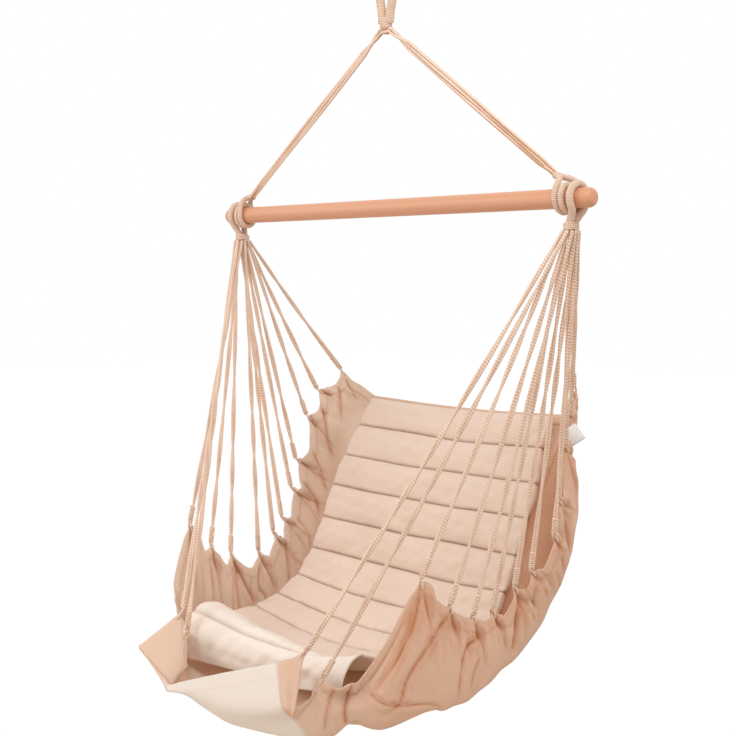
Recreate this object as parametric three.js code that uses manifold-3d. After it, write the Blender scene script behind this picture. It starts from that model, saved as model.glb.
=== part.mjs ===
// Hanging hammock chair: a cloth sling with a quilted pad, hung by doubled cords from a wooden spreader
// bar, which hangs from one whipped rope eye. Millimetres, +Z up, the sitter faces -Y, the bar lies
// along X, and the origin is where a hook bears inside the eye.
import * as THREE from "three";
import { mergeVertices } from "three/addons/utils/BufferGeometryUtils.js";
import Module from "manifold-3d";

const wasm = await Module();
wasm.setup();

// Clearances
const FIT_GAP = 0.4;
const JOIN_GAP = 0.3;
const CUT_OVERRUN = 4;
const MERGE_REACH = 0.0001;

// Spreader bar
const BAR_LENGTH = 1000;
const BAR_DIAMETER = 35;
const BAR_END_ROUND = 12;
const BAR_DROP = 490;
const BAR_OFFSET = 6;
const BAR_ARC_STEPS = 4;
const BAR_SIDES = 24;

// Hang eye: its rope, and the middle of its lower end, where neck and legs pivot
const EYE_ROPE = 18;
const EYE_HALF_WIDTH = 27;
const EYE_RIB_HEIGHT = 0.5;
const EYE_RIBS = 24;
const EYE_SIDES = 8;
const EYE_FOOT_SHARE = 0.5;
const PIVOT_DROP = 133;
const NECK_RADIUS = 12;
const NECK_SIDES = 20;
const NECK_RINGS = 14;
const CROWN_RADIUS = 23;
const CROWN_SPREAD = 1.15;
const CROWN_STEPS = 5;
const CROWN_SIDES = 18;

// Legs
const LEG_STRAND = 6;
const LEG_STRANDS = 3;
const LEG_BUNDLE_RADIUS = 3.8;
const LEG_TWIST = 0.5;
const LEG_SECTIONS = 6;
const STRAND_SIDES = 6;

// Leg hitch: two turns of rope round the bar, closed above it
const HITCH_ROPE = 11;
const HITCH_PITCH = 13;
const HITCH_FROM_END = 68;
const HITCH_TURNS = 2;
const HITCH_OPEN_ANGLE = 3.1;
const HITCH_HEIGHT = 41;
const HITCH_LEAN = 14;
const HITCH_END_GAP = 2.4;
const HITCH_MIDDLE_SHARE = 0.75;
const HITCH_OUTER_SHARE = 1.5;
const HITCH_LEAVE_SHARE = 1.7;
const HITCH_LEAVE_DROP = 8;
const HITCH_ARRIVE_SHARE = 0.7;
const HITCH_LEAD_SHARE = 0.2;
const HITCH_STEPS = 46;
const ROPE_SIDES = 6;
const GAP_SAMPLES = 200;
const HEADING_STEP = 0.01;

// Fan eye: one thick whipped turn over the bar, closed below it
const FAN_ROPE = 13.4;
const FAN_EYE_GAP = 1;
const FAN_OPEN_ANGLE = 1.9;
const FAN_DROP = 54;
const FAN_LEAN = 13;
const FAN_RIBS = 22;
const FAN_RIB_HEIGHT = 0.5;
const FAN_THROAT_GAP = 0.6;
const FAN_LEAVE_SHARE = 0.35;
const FAN_ARRIVE_SHARE = 0.4;
const FAN_LEAD_SHARE = 0.25;
const SEIZING_HEIGHT = 7;
const SEIZING_WALL = 2.6;
const SEIZING_FLOOR = 2.5;
const SEIZING_SIDES = 24;
const SEIZING_FOOT_SEATS = 1.5;

// Suspension lines: two strands laid together, a knotted barrel, and a bight through an eyelet
const LINE_STRAND = 5.4;
const LINE_SPREAD_TOP = 1.8;
const LINE_SPREAD = 5.2;
const LINE_SPREAD_RUN = 260;
const LINE_TWISTS = 1;
const LINE_SECTIONS = 8;
const LINE_SIDES = 6;
const LINE_SEAT = 8.6;
const LINE_SAG = 0.025;
const BARREL_LENGTH = 38;
const BARREL_DIAMETER = 11.6;
const BARREL_FOOT_SHARE = 0.9;
const BARREL_START_SHARE = 0.14;
const BARREL_END_SHARE = 0.82;
const BARREL_SPREAD_SHARE = 0.3;
const BIGHT_RADIUS = 9.5;
const BIGHT_CORD = 4;
const BIGHT_SIDES = 5;
const BIGHT_SEGMENTS = 9;
const EYELET_RADIUS = 7;
const EYELET_SIDES = 3;
const EYELET_DEPTH = 12;
const BIGHT_SHIFT = 1.8;
const CORNER_EYELET_DEPTH = 15.6;

// Seat: half width between the widest cord ends, reach of the front ones, their drop below the bar, and
// the seat's turn about the bar, in radians, that brings its weight under the bar
const EDGE_HALF_WIDTH = 370;
const EDGE_REACH = 376;
const EDGE_DROP = 831;
const SEAT_LEAN = 0.0234;

// Pad
const PAD_HALF_WIDTH = 258;
const PAD_FRONT_HALF_WIDTH = 230;
const PAD_CHANNELS = 11;
const PAD_THICKNESS = 30;
const PAD_SEAM_THICKNESS = 9;
const PAD_SIDE_THICKNESS = 10;
const PAD_DRAWN_IN = 7;
const PAD_LIFT_BACK = 16;
const PAD_LIFT_FRONT = 34;
const PAD_ROWS_PER_CHANNEL = 4;
const PAD_COLUMNS = 10;
const PAD_CROWDING = 0.35;
const PAD_SWELL_POWER = 0.7;
const PAD_SIDE_POWER = 6;
const PAD_DRAWN_POWER = 4;
const PROFILE_SAMPLES = 400;

// Sling cloth
const CLOTH_THICKNESS = 2.4;
const HEM_THICKNESS = 3.6;
const CLOTH_GAP = 3;
const FOOT_MARGIN = 14;
const UNDER_COLUMNS = 2;
const WALL_COLUMNS = 4;
const HEM_INSET = 26;
const BACK_BULGE = 28;
const SEAT_BULGE = 104;
const SIDE_BULGE = 34;
const CORD_ROW_SHARE = 0.93;
const BULGE_START_SHARE = 0.08;
const BULGE_FULL_SHARE = 0.26;
const BACK_DROOP = 12;
const SEAT_DROOP = 32;
const FOLD_OUT = 12;
const FOOT_SINK = 12;
const LIP_DROOP_SHARE = 0.8;
const WALL_LEAD_SHARE = 0.3;
const HEM_MOST_SHARE = 0.3;

// Side label
const LABEL_WIDTH = 34;
const LABEL_REACH = 26;
const LABEL_LAP = 8;
const LABEL_THICKNESS = 1.2;
const LABEL_GAP = 0.6;

// Colours
const CLOTH_COLOUR = 0xe3c6ac;
const PAD_COLOUR = 0xe7cdbb;
const CORD_COLOUR = 0xd9bfa8;
const WOOD_COLOUR = 0xd99f7c;
const LABEL_COLOUR = 0xe9e6e2;

const SIDES = [["left", -1], ["right", 1]];

// One side of the hang eye from the neck up: shares of the way out to its half width, and of its drop
const eyeRouteShares = [[0.05, 0.87], [0.19, 0.76], [0.69, 0.46], [1, 0.27], [0.86, 0.08]];

// Places where the lines hold the cloth, from the upper back corner to the front corner, as shares of
// the half width, the reach and the drop
const cordEndShares = [
  [0.886, 0.508, 0.426], [0.954, 0.388, 0.48], [0.976, 0.316, 0.552], [0.995, 0.245, 0.669],
  [1.0, 0.207, 0.747], [0.951, 0.088, 0.819], [0.922, -0.008, 0.852], [0.895, -0.146, 0.894],
  [0.927, -0.327, 0.888], [0.916, -0.479, 0.853], [0.889, -0.644, 0.787], [0.524, -0.941, 1.0],
  [0.484, -1.0, 0.937],
];
// Where each of those rows meets the pad, as shares of the pad's length
const footShares = [-0.018, 0.065, 0.19, 0.3, 0.385, 0.46, 0.535, 0.605, 0.675, 0.745, 0.81];
// Side view of the pad's upper face on its middle line, as shares of the reach and the drop
const padProfileShares = [
  [0.59, 0.499], [0.314, 0.688], [0.128, 0.872], [0.013, 0.945], [-0.213, 1.001], [-0.452, 1.018],
  [-0.61, 1.01], [-0.7, 0.985], [-0.775, 0.978], [-0.826, 1.002], [-0.836, 1.042],
];
// Front lip rows between the third cord end from the front and the hem: middle, foot and edge, as shares of
// the half width, the reach and the drop; the left side droops further than the right
const lipShares = [
  { middle: [-0.8, 1.112], foot: [0.716, -0.777, 1.085], edge: [0.811, -0.803, 0.909],
    leftEdge: [0.859, -0.846, 0.906] },
  { middle: [-0.92, 1.142], foot: [0.627, -0.864, 1.085], edge: [0.703, -0.87, 0.976],
    leftEdge: [0.68, -0.91, 0.94] },
  { middle: [-1.0, 1.146], foot: [0.53, -0.92, 1.125], edge: [0.64, -0.905, 0.972],
    leftEdge: [0.6, -0.92, 0.955] },
  { middle: [-1.06, 1.138], foot: [0.5, -1.0, 1.12], edge: [0.6, -0.93, 0.998] },
  { middle: [-1.11, 1.118], foot: [0.46, -1.06, 1.075], cordEnd: 11,
    leftFoot: [0.46, -1.08, 1.095] },
  { middle: [-1.14, 1.08], foot: [0.45, -1.12, 1.04], edge: [0.53, -1.12, 1.043],
    leftFoot: [0.44, -1.15, 1.115], leftEdge: [0.44, -1.04, 1.05] },
  { middle: [-1.1, 1.02], foot: [0.33, -1.05, 0.97], cordEnd: 12,
    leftFoot: [0.4, -1.14, 1.085], leftWall: [0.7, -1.33, 0.985] },
];
// Seat of each line's upper end in the bundle under the bar: across and along the chair, in line seats
const bundleShares = [
  [-0.5, 2], [0.5, 2], [-1, 1], [0, 1], [1, 1], [1, 0], [0, 0], [-1, 0], [1, -1], [0, -1], [-1, -1],
  [0.5, -2], [-0.5, -2],
];

const vec = (x, y, z) => new THREE.Vector3(x, y, z);
const mix = THREE.MathUtils.lerp;
const smooth = (t) => THREE.MathUtils.smoothstep(t, 0, 1);
const BAR_RADIUS = BAR_DIAMETER / 2;
const HITCH_INNER_X = BAR_LENGTH / 2 - HITCH_FROM_END;
const FAN_X = HITCH_INNER_X + HITCH_PITCH * HITCH_OUTER_SHARE + (HITCH_ROPE + FAN_ROPE) / 2 + FAN_EYE_GAP;

// Solids and meshes

function toSolid(geometry) {
  const plain = new THREE.BufferGeometry();
  plain.setAttribute("position", geometry.getAttribute("position"));
  if (geometry.index) plain.setIndex(geometry.index);
  const merged = mergeVertices(plain, MERGE_REACH);
  return new wasm.Manifold(new wasm.Mesh({
    numProp: 3,
    vertProperties: new Float32Array(merged.attributes.position.array),
    triVerts: new Uint32Array(merged.index.array),
  }));
}

function toGeometry(solid) {
  const mesh = solid.getMesh();
  const geometry = new THREE.BufferGeometry();
  const count = mesh.numProp;
  const places = new Float32Array(mesh.numVert * 3);
  for (let i = 0; i < mesh.numVert; i++) {
    places.set(mesh.vertProperties.subarray(i * count, i * count + 3), i * 3);
  }
  geometry.setAttribute("position", new THREE.BufferAttribute(places, 3));
  geometry.setIndex(new THREE.BufferAttribute(new Uint32Array(mesh.triVerts), 1));
  geometry.computeVertexNormals();
  return geometry;
}

const material = (color, roughness) => new THREE.MeshStandardMaterial({ color, roughness, metalness: 0 });
const clothMaterial = material(CLOTH_COLOUR, 0.95);
const padMaterial = material(PAD_COLOUR, 0.95);
const cordMaterial = material(CORD_COLOUR, 0.9);
const woodMaterial = material(WOOD_COLOUR, 0.5);
const labelMaterial = material(LABEL_COLOUR, 0.8);

const chair = new THREE.Group();

function addPiece(name, geometry, look) {
  const mesh = new THREE.Mesh(geometry, look);
  mesh.name = name;
  chair.add(mesh);
  return mesh;
}

// A closed tube through rings of points, each ring given in the same turning sense
function skinRings(rings) {
  const sides = rings[0].length;
  const places = [];
  const faces = [];
  rings.forEach((ring) => ring.forEach((p) => places.push(p.x, p.y, p.z)));
  for (let i = 0; i < rings.length - 1; i++) {
    for (let j = 0; j < sides; j++) {
      const a = i * sides + j;
      const b = i * sides + ((j + 1) % sides);
      faces.push(a, b, b + sides, a, b + sides, a + sides);
    }
  }
  const last = (rings.length - 1) * sides;
  for (let j = 1; j < sides - 1; j++) {
    faces.push(0, j + 1, j);
    faces.push(last, last + j, last + j + 1);
  }
  const geometry = new THREE.BufferGeometry();
  geometry.setAttribute("position", new THREE.BufferAttribute(new Float32Array(places), 3));
  geometry.setIndex(faces);
  return geometry;
}

// Rings of a round tube whose radius follows radiusAt(share of the run)
function tubeRings(curve, steps, sides, radiusAt) {
  const frames = curve.computeFrenetFrames(steps, false);
  const rings = [];
  for (let i = 0; i <= steps; i++) {
    const t = i / steps;
    const centre = curve.getPointAt(t);
    const ring = [];
    for (let j = 0; j < sides; j++) {
      const angle = (2 * Math.PI * j) / sides;
      const reach = radiusAt(t);
      ring.push(centre.clone()
        .addScaledVector(frames.normals[i], Math.cos(angle) * reach)
        .addScaledVector(frames.binormals[i], Math.sin(angle) * reach));
    }
    rings.push(ring);
  }
  return rings;
}

const ribbed = (radius, height, steps) => (t) => radius - (Math.round(t * steps) % 2 === 0 ? height : 0);

// A ball about the pivot, of a fineness that its neighbours share
function ball(radius) {
  return toSolid(new THREE.SphereGeometry(radius, NECK_SIDES, NECK_RINGS).translate(0, 0, -PIVOT_DROP));
}

// Hang eye, neck and crown

function hangEye() {
  const half = EYE_ROPE / 2 + FIT_GAP;
  const side = (s) => [
    vec(s * half, 0, -PIVOT_DROP + NECK_RADIUS * EYE_FOOT_SHARE),
    ...eyeRouteShares.map(([out, down]) => vec(s * mix(half, EYE_HALF_WIDTH, out), 0, -PIVOT_DROP * down)),
  ];
  const top = vec(0, 0, EYE_ROPE / 2);
  const curve = new THREE.CatmullRomCurve3([...side(-1), top, ...side(1).reverse()]);
  const steps = EYE_RIBS * 2;
  const rings = tubeRings(curve, steps, EYE_SIDES, ribbed(EYE_ROPE / 2, EYE_RIB_HEIGHT, steps));
  return toGeometry(toSolid(skinRings(rings)).subtract(ball(NECK_RADIUS + JOIN_GAP)));
}

function crownKnot() {
  const profile = [];
  const inner = NECK_RADIUS + JOIN_GAP;
  for (let i = 0; i <= CROWN_STEPS; i++) {
    const angle = (CROWN_SPREAD * i) / CROWN_STEPS;
    profile.push(new THREE.Vector2(Math.sin(angle) * CROWN_RADIUS, -Math.cos(angle) * CROWN_RADIUS));
  }
  for (let i = CROWN_STEPS; i >= 0; i--) {
    const angle = (CROWN_SPREAD * i) / CROWN_STEPS;
    profile.push(new THREE.Vector2(Math.sin(angle) * inner, -Math.cos(angle) * inner));
  }
  const geometry = new THREE.LatheGeometry(profile, CROWN_SIDES);
  return turnedUp(geometry).translate(0, 0, -PIVOT_DROP);
}

// A lathe's own axis is Y: stand it along Z and close its seam
function turnedUp(geometry) {
  geometry.rotateX(Math.PI / 2);
  return toGeometry(toSolid(geometry));
}

// Legs and their hitches

function legEnds(s) {
  const pivot = vec(0, 0, -PIVOT_DROP);
  const low = vec(BAR_OFFSET + s * (HITCH_INNER_X - HITCH_LEAN), 0, -BAR_DROP + HITCH_HEIGHT);
  const along = low.clone().sub(pivot).normalize();
  pivot.addScaledVector(along, CROWN_RADIUS + JOIN_GAP);
  low.addScaledVector(along, -HITCH_END_GAP);
  return [pivot, low, along];
}

function legStrand(s, n) {
  const [top, low, along] = legEnds(s);
  const across = vec(0, 1, 0);
  const up = vec().crossVectors(along, across);
  const rings = [];
  for (let i = 0; i <= LEG_SECTIONS; i++) {
    const t = i / LEG_SECTIONS;
    const turn = 2 * Math.PI * (n / LEG_STRANDS + LEG_TWIST * t);
    const centre = top.clone().lerp(low, t)
      .addScaledVector(across, Math.cos(turn) * LEG_BUNDLE_RADIUS)
      .addScaledVector(up, Math.sin(turn) * LEG_BUNDLE_RADIUS);
    const ring = [];
    for (let j = 0; j < STRAND_SIDES; j++) {
      const angle = (2 * Math.PI * j) / STRAND_SIDES;
      ring.push(centre.clone()
        .addScaledVector(across, (Math.cos(angle) * LEG_STRAND) / 2)
        .addScaledVector(up, (Math.sin(angle) * LEG_STRAND) / 2));
    }
    rings.push(ring);
  }
  return skinRings(rings);
}

// Turns of rope about the bar: from a throat on one side (up = 1 above, -1 below), round, and back to it
class BarTurns extends THREE.Curve {
  constructor(values) {
    super();
    Object.assign(this, values);
  }

  getPoint(t) {
    const { s, x, rise, radius, turned, pitch, up, throatX, throatZ, throatHalf, leave, arrive } = this;
    const lead = this.leadShare;
    const start = (Math.PI * 2 * Math.ceil(turned / (Math.PI * 2)) - turned) / 2;
    const ringAt = (share) => {
      const angle = start + turned * share;
      return vec(BAR_OFFSET + s * (x + (pitch * (turned * (share - 0.5))) / (2 * Math.PI)),
        -Math.sin(angle) * radius, up * Math.cos(angle) * radius + rise);
    };
    const throat = (sign) => vec(BAR_OFFSET + s * throatX, sign * throatHalf, throatZ);
    const away = vec(s * leave[0], 0, leave[1]);
    if (t < lead) {
      return easeTo(throat(-1), away, ringAt(0), ringAt(HEADING_STEP), arrive, t / lead);
    }
    if (t > 1 - lead) {
      return easeTo(throat(1), away, ringAt(1), ringAt(1 - HEADING_STEP), arrive, (1 - t) / lead);
    }
    return ringAt((t - lead) / (1 - 2 * lead));
  }
}

// A lead that leaves the throat one way and meets the ring along its own direction
function easeTo(throat, away, ring, next, arriveShare, t) {
  const reach = throat.distanceTo(ring) * arriveShare;
  const arrive = ring.clone().sub(next);
  arrive.setX(0).setLength(reach).add(ring);
  return new THREE.CubicBezierCurve3(throat, throat.clone().add(away), arrive, ring).getPoint(t);
}

function legHitch(s) {
  const curve = new BarTurns({
    s,
    x: HITCH_INNER_X + HITCH_PITCH * HITCH_MIDDLE_SHARE,
    rise: -BAR_DROP,
    radius: BAR_RADIUS + FIT_GAP + HITCH_ROPE / 2,
    turned: Math.PI * 2 * HITCH_TURNS - HITCH_OPEN_ANGLE,
    pitch: HITCH_PITCH,
    up: 1,
    throatX: HITCH_INNER_X - HITCH_LEAN,
    throatZ: -BAR_DROP + HITCH_HEIGHT,
    throatHalf: HITCH_ROPE / 2 + FIT_GAP,
    leave: [HITCH_LEAN * HITCH_LEAVE_SHARE, -HITCH_LEAVE_DROP],
    arrive: HITCH_ARRIVE_SHARE,
    leadShare: HITCH_LEAD_SHARE,
  });
  return windTube(curve, HITCH_ROPE, HITCH_STEPS, () => HITCH_ROPE / 2, "leg hitch");
}

function fanEye(s) {
  const curve = new BarTurns({
    s,
    x: FAN_X,
    rise: -BAR_DROP,
    radius: BAR_RADIUS + FIT_GAP + FAN_ROPE / 2,
    turned: Math.PI * 2 - FAN_OPEN_ANGLE,
    pitch: 0,
    up: -1,
    throatX: FAN_X - FAN_LEAN,
    throatZ: -BAR_DROP - FAN_DROP,
    throatHalf: FAN_ROPE / 2 + FAN_THROAT_GAP,
    leave: [0, FAN_DROP * FAN_LEAVE_SHARE],
    arrive: FAN_ARRIVE_SHARE,
    leadShare: FAN_LEAD_SHARE,
  });
  const steps = FAN_RIBS * 2;
  return windTube(curve, FAN_ROPE, steps, ribbed(FAN_ROPE / 2, FAN_RIB_HEIGHT, steps), "fan eye");
}

// One unbroken tube, with the least gap between its own stretches measured on points and printed
function windTube(curve, rope, steps, radiusAt, label) {
  const points = curve.getSpacedPoints(GAP_SAMPLES);
  const step = curve.getLength() / GAP_SAMPLES;
  const apart = Math.ceil((rope * 2) / step);
  let least = Infinity;
  points.forEach((p, i) => {
    for (let j = i + apart; j < points.length; j++) least = Math.min(least, p.distanceTo(points[j]));
  });
  console.log(label, "least gap to itself", (least - rope).toFixed(2), "mm");
  return toGeometry(toSolid(skinRings(tubeRings(curve, steps, ROPE_SIDES, radiusAt))));
}

// The wrap that closes a fan eye: a rounded cup about its two ends, with a floor over the lines' tops
function fanSeizing(s) {
  const inner = FAN_ROPE / 2 + FIT_GAP;
  const half = FAN_ROPE / 2 + FAN_THROAT_GAP;
  const ring = (z, reach, straight) => {
    const points = [];
    for (let i = 0; i < SEIZING_SIDES; i++) {
      const angle = (2 * Math.PI * i) / SEIZING_SIDES;
      const lift = Math.sign(Math.sin(angle)) * straight;
      points.push(vec(Math.cos(angle) * reach, Math.sin(angle) * reach + lift, z));
    }
    return points;
  };
  const wrap = toSolid(skinRings([
    ring(-SEIZING_FLOOR, LINE_SEAT * SEIZING_FOOT_SEATS, LINE_SEAT),
    ring(0, inner + SEIZING_WALL, half),
    ring(SEIZING_HEIGHT, inner + SEIZING_WALL, half),
  ]));
  const bore = toSolid(skinRings([ring(0, inner, half), ring(SEIZING_HEIGHT + CUT_OVERRUN, inner, half)]));
  const cup = wrap.subtract(bore);
  return toGeometry(cup.translate(BAR_OFFSET + s * (FAN_X - FAN_LEAN), 0, -BAR_DROP - FAN_DROP - JOIN_GAP));
}

function spreaderBar() {
  const profile = [new THREE.Vector2(0, -BAR_LENGTH / 2)];
  for (const end of [-1, 1]) {
    for (let i = 0; i <= BAR_ARC_STEPS; i++) {
      const share = end < 0 ? i / BAR_ARC_STEPS : 1 - i / BAR_ARC_STEPS;
      const angle = (share * Math.PI) / 2;
      profile.push(new THREE.Vector2(
        BAR_RADIUS - BAR_END_ROUND + Math.sin(angle) * BAR_END_ROUND,
        end * (BAR_LENGTH / 2 - BAR_END_ROUND + Math.cos(angle) * BAR_END_ROUND),
      ));
    }
  }
  profile.push(new THREE.Vector2(0, BAR_LENGTH / 2));
  const geometry = new THREE.LatheGeometry(profile, BAR_SIDES);
  geometry.rotateZ(Math.PI / 2).translate(BAR_OFFSET, 0, -BAR_DROP);
  return toGeometry(toSolid(geometry));
}

// Seat surface: the pad's profile and the cloth's rows

const place = ([x, y, z], s = 1) => vec(
  s * x * EDGE_HALF_WIDTH,
  y * EDGE_REACH * Math.cos(SEAT_LEAN) + z * EDGE_DROP * Math.sin(SEAT_LEAN),
  y * EDGE_REACH * Math.sin(SEAT_LEAN) - z * EDGE_DROP * Math.cos(SEAT_LEAN) - BAR_DROP,
);
const profileCurve = new THREE.CatmullRomCurve3(padProfileShares.map(([y, z]) => place([0, y, z])));
profileCurve.arcLengthDivisions = PROFILE_SAMPLES;

// A point of the pad's upper face before quilting, at a share of its length and of its half width
function padFace(share, across) {
  const t = THREE.MathUtils.clamp(share, 0, 1);
  const point = profileCurve.getPointAt(t);
  const tangent = profileCurve.getTangentAt(t);
  const outward = vec(0, -tangent.z, tangent.y);
  if (share !== t) point.addScaledVector(tangent, (share - t) * profileCurve.getLength());
  const lift = mix(PAD_LIFT_BACK, PAD_LIFT_FRONT, smooth(t)) * across * across;
  point.addScaledVector(outward, -lift);
  point.x = across * mix(PAD_HALF_WIDTH, PAD_FRONT_HALF_WIDTH, smooth(2 * t - 1));
  return { point, outward };
}

function quiltedPad() {
  const rows = PAD_CHANNELS * PAD_ROWS_PER_CHANNEL;
  const top = [];
  const bottom = [];
  for (let i = 0; i <= rows; i++) {
    const swell = Math.sin((Math.PI * (i % PAD_ROWS_PER_CHANNEL)) / PAD_ROWS_PER_CHANNEL) ** PAD_SWELL_POWER;
    top.push([]);
    bottom.push([]);
    for (let j = 0; j <= PAD_COLUMNS; j++) {
      const part = j / PAD_COLUMNS - 0.5;
      const across = mix(2 * part, Math.sin(part * Math.PI), PAD_CROWDING);
      const { point, outward } = padFace(i / rows, across);
      const side = Math.sqrt(Math.max(0, 1 - Math.abs(across) ** PAD_SIDE_POWER));
      const full = mix(PAD_SIDE_THICKNESS, mix(PAD_SEAM_THICKNESS, PAD_THICKNESS, swell), side);
      point.x -= Math.sign(across) * Math.abs(across) ** PAD_DRAWN_POWER * PAD_DRAWN_IN * (1 - swell);
      point.addScaledVector(outward, PAD_THICKNESS / 2);
      top[i].push(point.clone().addScaledVector(outward, -full / 2));
      bottom[i].push(point.clone().addScaledVector(outward, full / 2));
    }
  }
  return skinSheet(top, bottom);
}

// A closed sheet between two grids of points
function skinSheet(top, bottom) {
  const rows = top.length;
  const columns = top[0].length;
  const places = [];
  [top, bottom].forEach((grid) => grid.forEach((row) => row.forEach((p) => places.push(p.x, p.y, p.z))));
  const at = (layer, i, j) => layer * rows * columns + i * columns + j;
  const faces = [];
  const quad = (a, b, c, d) => faces.push(a, c, b, a, d, c);
  for (let i = 0; i < rows - 1; i++) {
    for (let j = 0; j < columns - 1; j++) {
      quad(at(0, i, j), at(0, i, j + 1), at(0, i + 1, j + 1), at(0, i + 1, j));
      quad(at(1, i, j), at(1, i + 1, j), at(1, i + 1, j + 1), at(1, i, j + 1));
    }
    quad(at(0, i, 0), at(0, i + 1, 0), at(1, i + 1, 0), at(1, i, 0));
    quad(at(0, i + 1, columns - 1), at(0, i, columns - 1), at(1, i, columns - 1),
      at(1, i + 1, columns - 1));
  }
  for (let j = 0; j < columns - 1; j++) {
    quad(at(0, 0, j + 1), at(0, 0, j), at(1, 0, j), at(1, 0, j + 1));
    quad(at(0, rows - 1, j), at(0, rows - 1, j + 1), at(1, rows - 1, j + 1), at(1, rows - 1, j));
  }
  const geometry = new THREE.BufferGeometry();
  geometry.setAttribute("position", new THREE.BufferAttribute(new Float32Array(places), 3));
  geometry.setIndex(faces);
  return geometry;
}

// Cloth rows from the top hem to the front hem. Each has a middle, a foot beside the pad and an edge
function clothRows(s) {
  const under = PAD_THICKNESS + CLOTH_GAP + CLOTH_THICKNESS / 2;
  const rows = [];
  const footAcross = (PAD_HALF_WIDTH + FOOT_MARGIN) / PAD_HALF_WIDTH;
  const padRow = (share, sink) => {
    const line = [];
    for (let j = 0; j <= UNDER_COLUMNS; j++) {
      const across = (footAcross * j) / UNDER_COLUMNS;
      const { point, outward } = padFace(share, Math.min(across, 1));
      point.addScaledVector(outward, under + (sink * j * j) / UNDER_COLUMNS ** 2);
      point.x = s * across * PAD_HALF_WIDTH;
      line.push(point);
    }
    return line;
  };
  const fullAt = (share) => smooth((share - BULGE_START_SHARE) / (BULGE_FULL_SHARE - BULGE_START_SHARE));
  const pushAt = (share) => padFace(share, 1).outward.clone()
    .multiplyScalar(mix(BACK_BULGE, SEAT_BULGE, fullAt(share)) * (share > 0 ? 1 : 0))
    .add(vec(s * SIDE_BULGE * fullAt(share), 0, 0));
  for (let k = 0; k < footShares.length; k++) {
    rows.push({ under: padRow(footShares[k], 0), edge: place(cordEndShares[k], s),
      push: pushAt(footShares[k]).multiplyScalar(CORD_ROW_SHARE), cordEnd: k });
    if (k === footShares.length - 1) break;
    const share = (footShares[k] + footShares[k + 1]) / 2;
    const edge = place(cordEndShares[k], s).lerp(place(cordEndShares[k + 1], s), 0.5);
    const under = padRow(share, FOOT_SINK);
    const droop = mix(BACK_DROOP, SEAT_DROOP, fullAt(share));
    edge.addScaledVector(under[UNDER_COLUMNS].clone().sub(edge).normalize(), droop);
    edge.x += s * FOLD_OUT * fullAt(share);
    rows.push({ under, edge, push: pushAt(share) });
  }
  lipShares.forEach((lip) => {
    const middle = place([0, ...lip.middle]);
    const left = s < 0;
    const foot = place(left && lip.leftFoot ? lip.leftFoot : lip.foot, s);
    const line = [];
    for (let j = 0; j <= UNDER_COLUMNS; j++) {
      const share = j / UNDER_COLUMNS;
      line.push(middle.clone().lerp(foot, share));
      line[j].z += (foot.z - middle.z) * (share * share - share) * LIP_DROOP_SHARE;
    }
    const edge = lip.cordEnd === undefined
      ? place(left && lip.leftEdge ? lip.leftEdge : lip.edge, s)
      : place(cordEndShares[lip.cordEnd], s);
    const wall = left && lip.leftWall ? place(lip.leftWall, s) : null;
    rows.push({ under: line, edge, push: vec(0, 0, 0), wall, cordEnd: lip.cordEnd });
  });
  return rows;
}

// One side's half row as points from the middle to the edge
function rowPoints(row) {
  const foot = row.under[UNDER_COLUMNS];
  const span = foot.distanceTo(row.edge);
  const inner = row.under[UNDER_COLUMNS - 1];
  const turn = foot.clone().sub(inner).normalize().multiplyScalar(span * WALL_LEAD_SHARE);
  const first = row.cordEnd === 0
    ? foot.clone().lerp(row.edge, WALL_LEAD_SHARE)
    : foot.clone().add(turn).add(row.push);
  const second = row.wall ?? row.edge.clone().lerp(foot, 0.5).add(row.push);
  const wall = new THREE.CubicBezierCurve3(foot, first, second, row.edge);
  const points = row.under.slice();
  const hemShare = 1 - Math.min(HEM_MOST_SHARE, HEM_INSET / span);
  for (let j = 1; j < WALL_COLUMNS; j++) points.push(wall.getPoint((hemShare * j) / (WALL_COLUMNS - 1)));
  points.push(row.edge.clone());
  return points;
}

const leftRows = clothRows(-1);
const rightRows = clothRows(1);
const clothGrid = leftRows.map((row, i) =>
  [...rowPoints(row).reverse().slice(0, -1), ...rowPoints(rightRows[i])]);
const lastColumn = clothGrid[0].length - 1;

// The cloth's facing at a grid point, towards the sitter
function clothNormal(i, j) {
  const grid = clothGrid;
  const down = grid[Math.min(i + 1, grid.length - 1)][j].clone().sub(grid[Math.max(i - 1, 0)][j]);
  const over = grid[i][Math.min(j + 1, lastColumn)].clone().sub(grid[i][Math.max(j - 1, 0)]);
  return over.cross(down).normalize().negate();
}

// Eyelet beside each cord end: its middle, the way to the cloth's edge and the cloth's facing
function eyelet(s, k) {
  const i = leftRows.findIndex((row) => row.cordEnd === k);
  const edgeColumn = s < 0 ? 0 : lastColumn;
  const edge = clothGrid[i][edgeColumn];
  const inner = clothGrid[i][edgeColumn - s];
  const outward = edge.clone().sub(inner).normalize();
  const last = clothGrid.length - 1;
  const middle = edge.clone().addScaledVector(outward, -EYELET_DEPTH);
  if (i === 0 || i === last) {
    const next = clothGrid[i === 0 ? 1 : last - 1][edgeColumn];
    outward.sub(next.clone().sub(edge).normalize()).normalize();
    middle.copy(edge).addScaledVector(outward, -CORNER_EYELET_DEPTH);
  }
  const facing = clothNormal(i, edgeColumn - s);
  facing.addScaledVector(outward, -facing.dot(outward)).normalize();
  return { middle, outward, facing };
}

function eyeletCut(s, k) {
  const { middle, outward, facing } = eyelet(s, k);
  const hole = new THREE.CylinderGeometry(EYELET_RADIUS, EYELET_RADIUS, HEM_THICKNESS + 2 * CUT_OVERRUN,
    EYELET_SIDES);
  const across = vec().crossVectors(facing, outward);
  hole.applyMatrix4(new THREE.Matrix4().makeBasis(across, facing, outward).setPosition(middle));
  return toSolid(hole);
}

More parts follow.
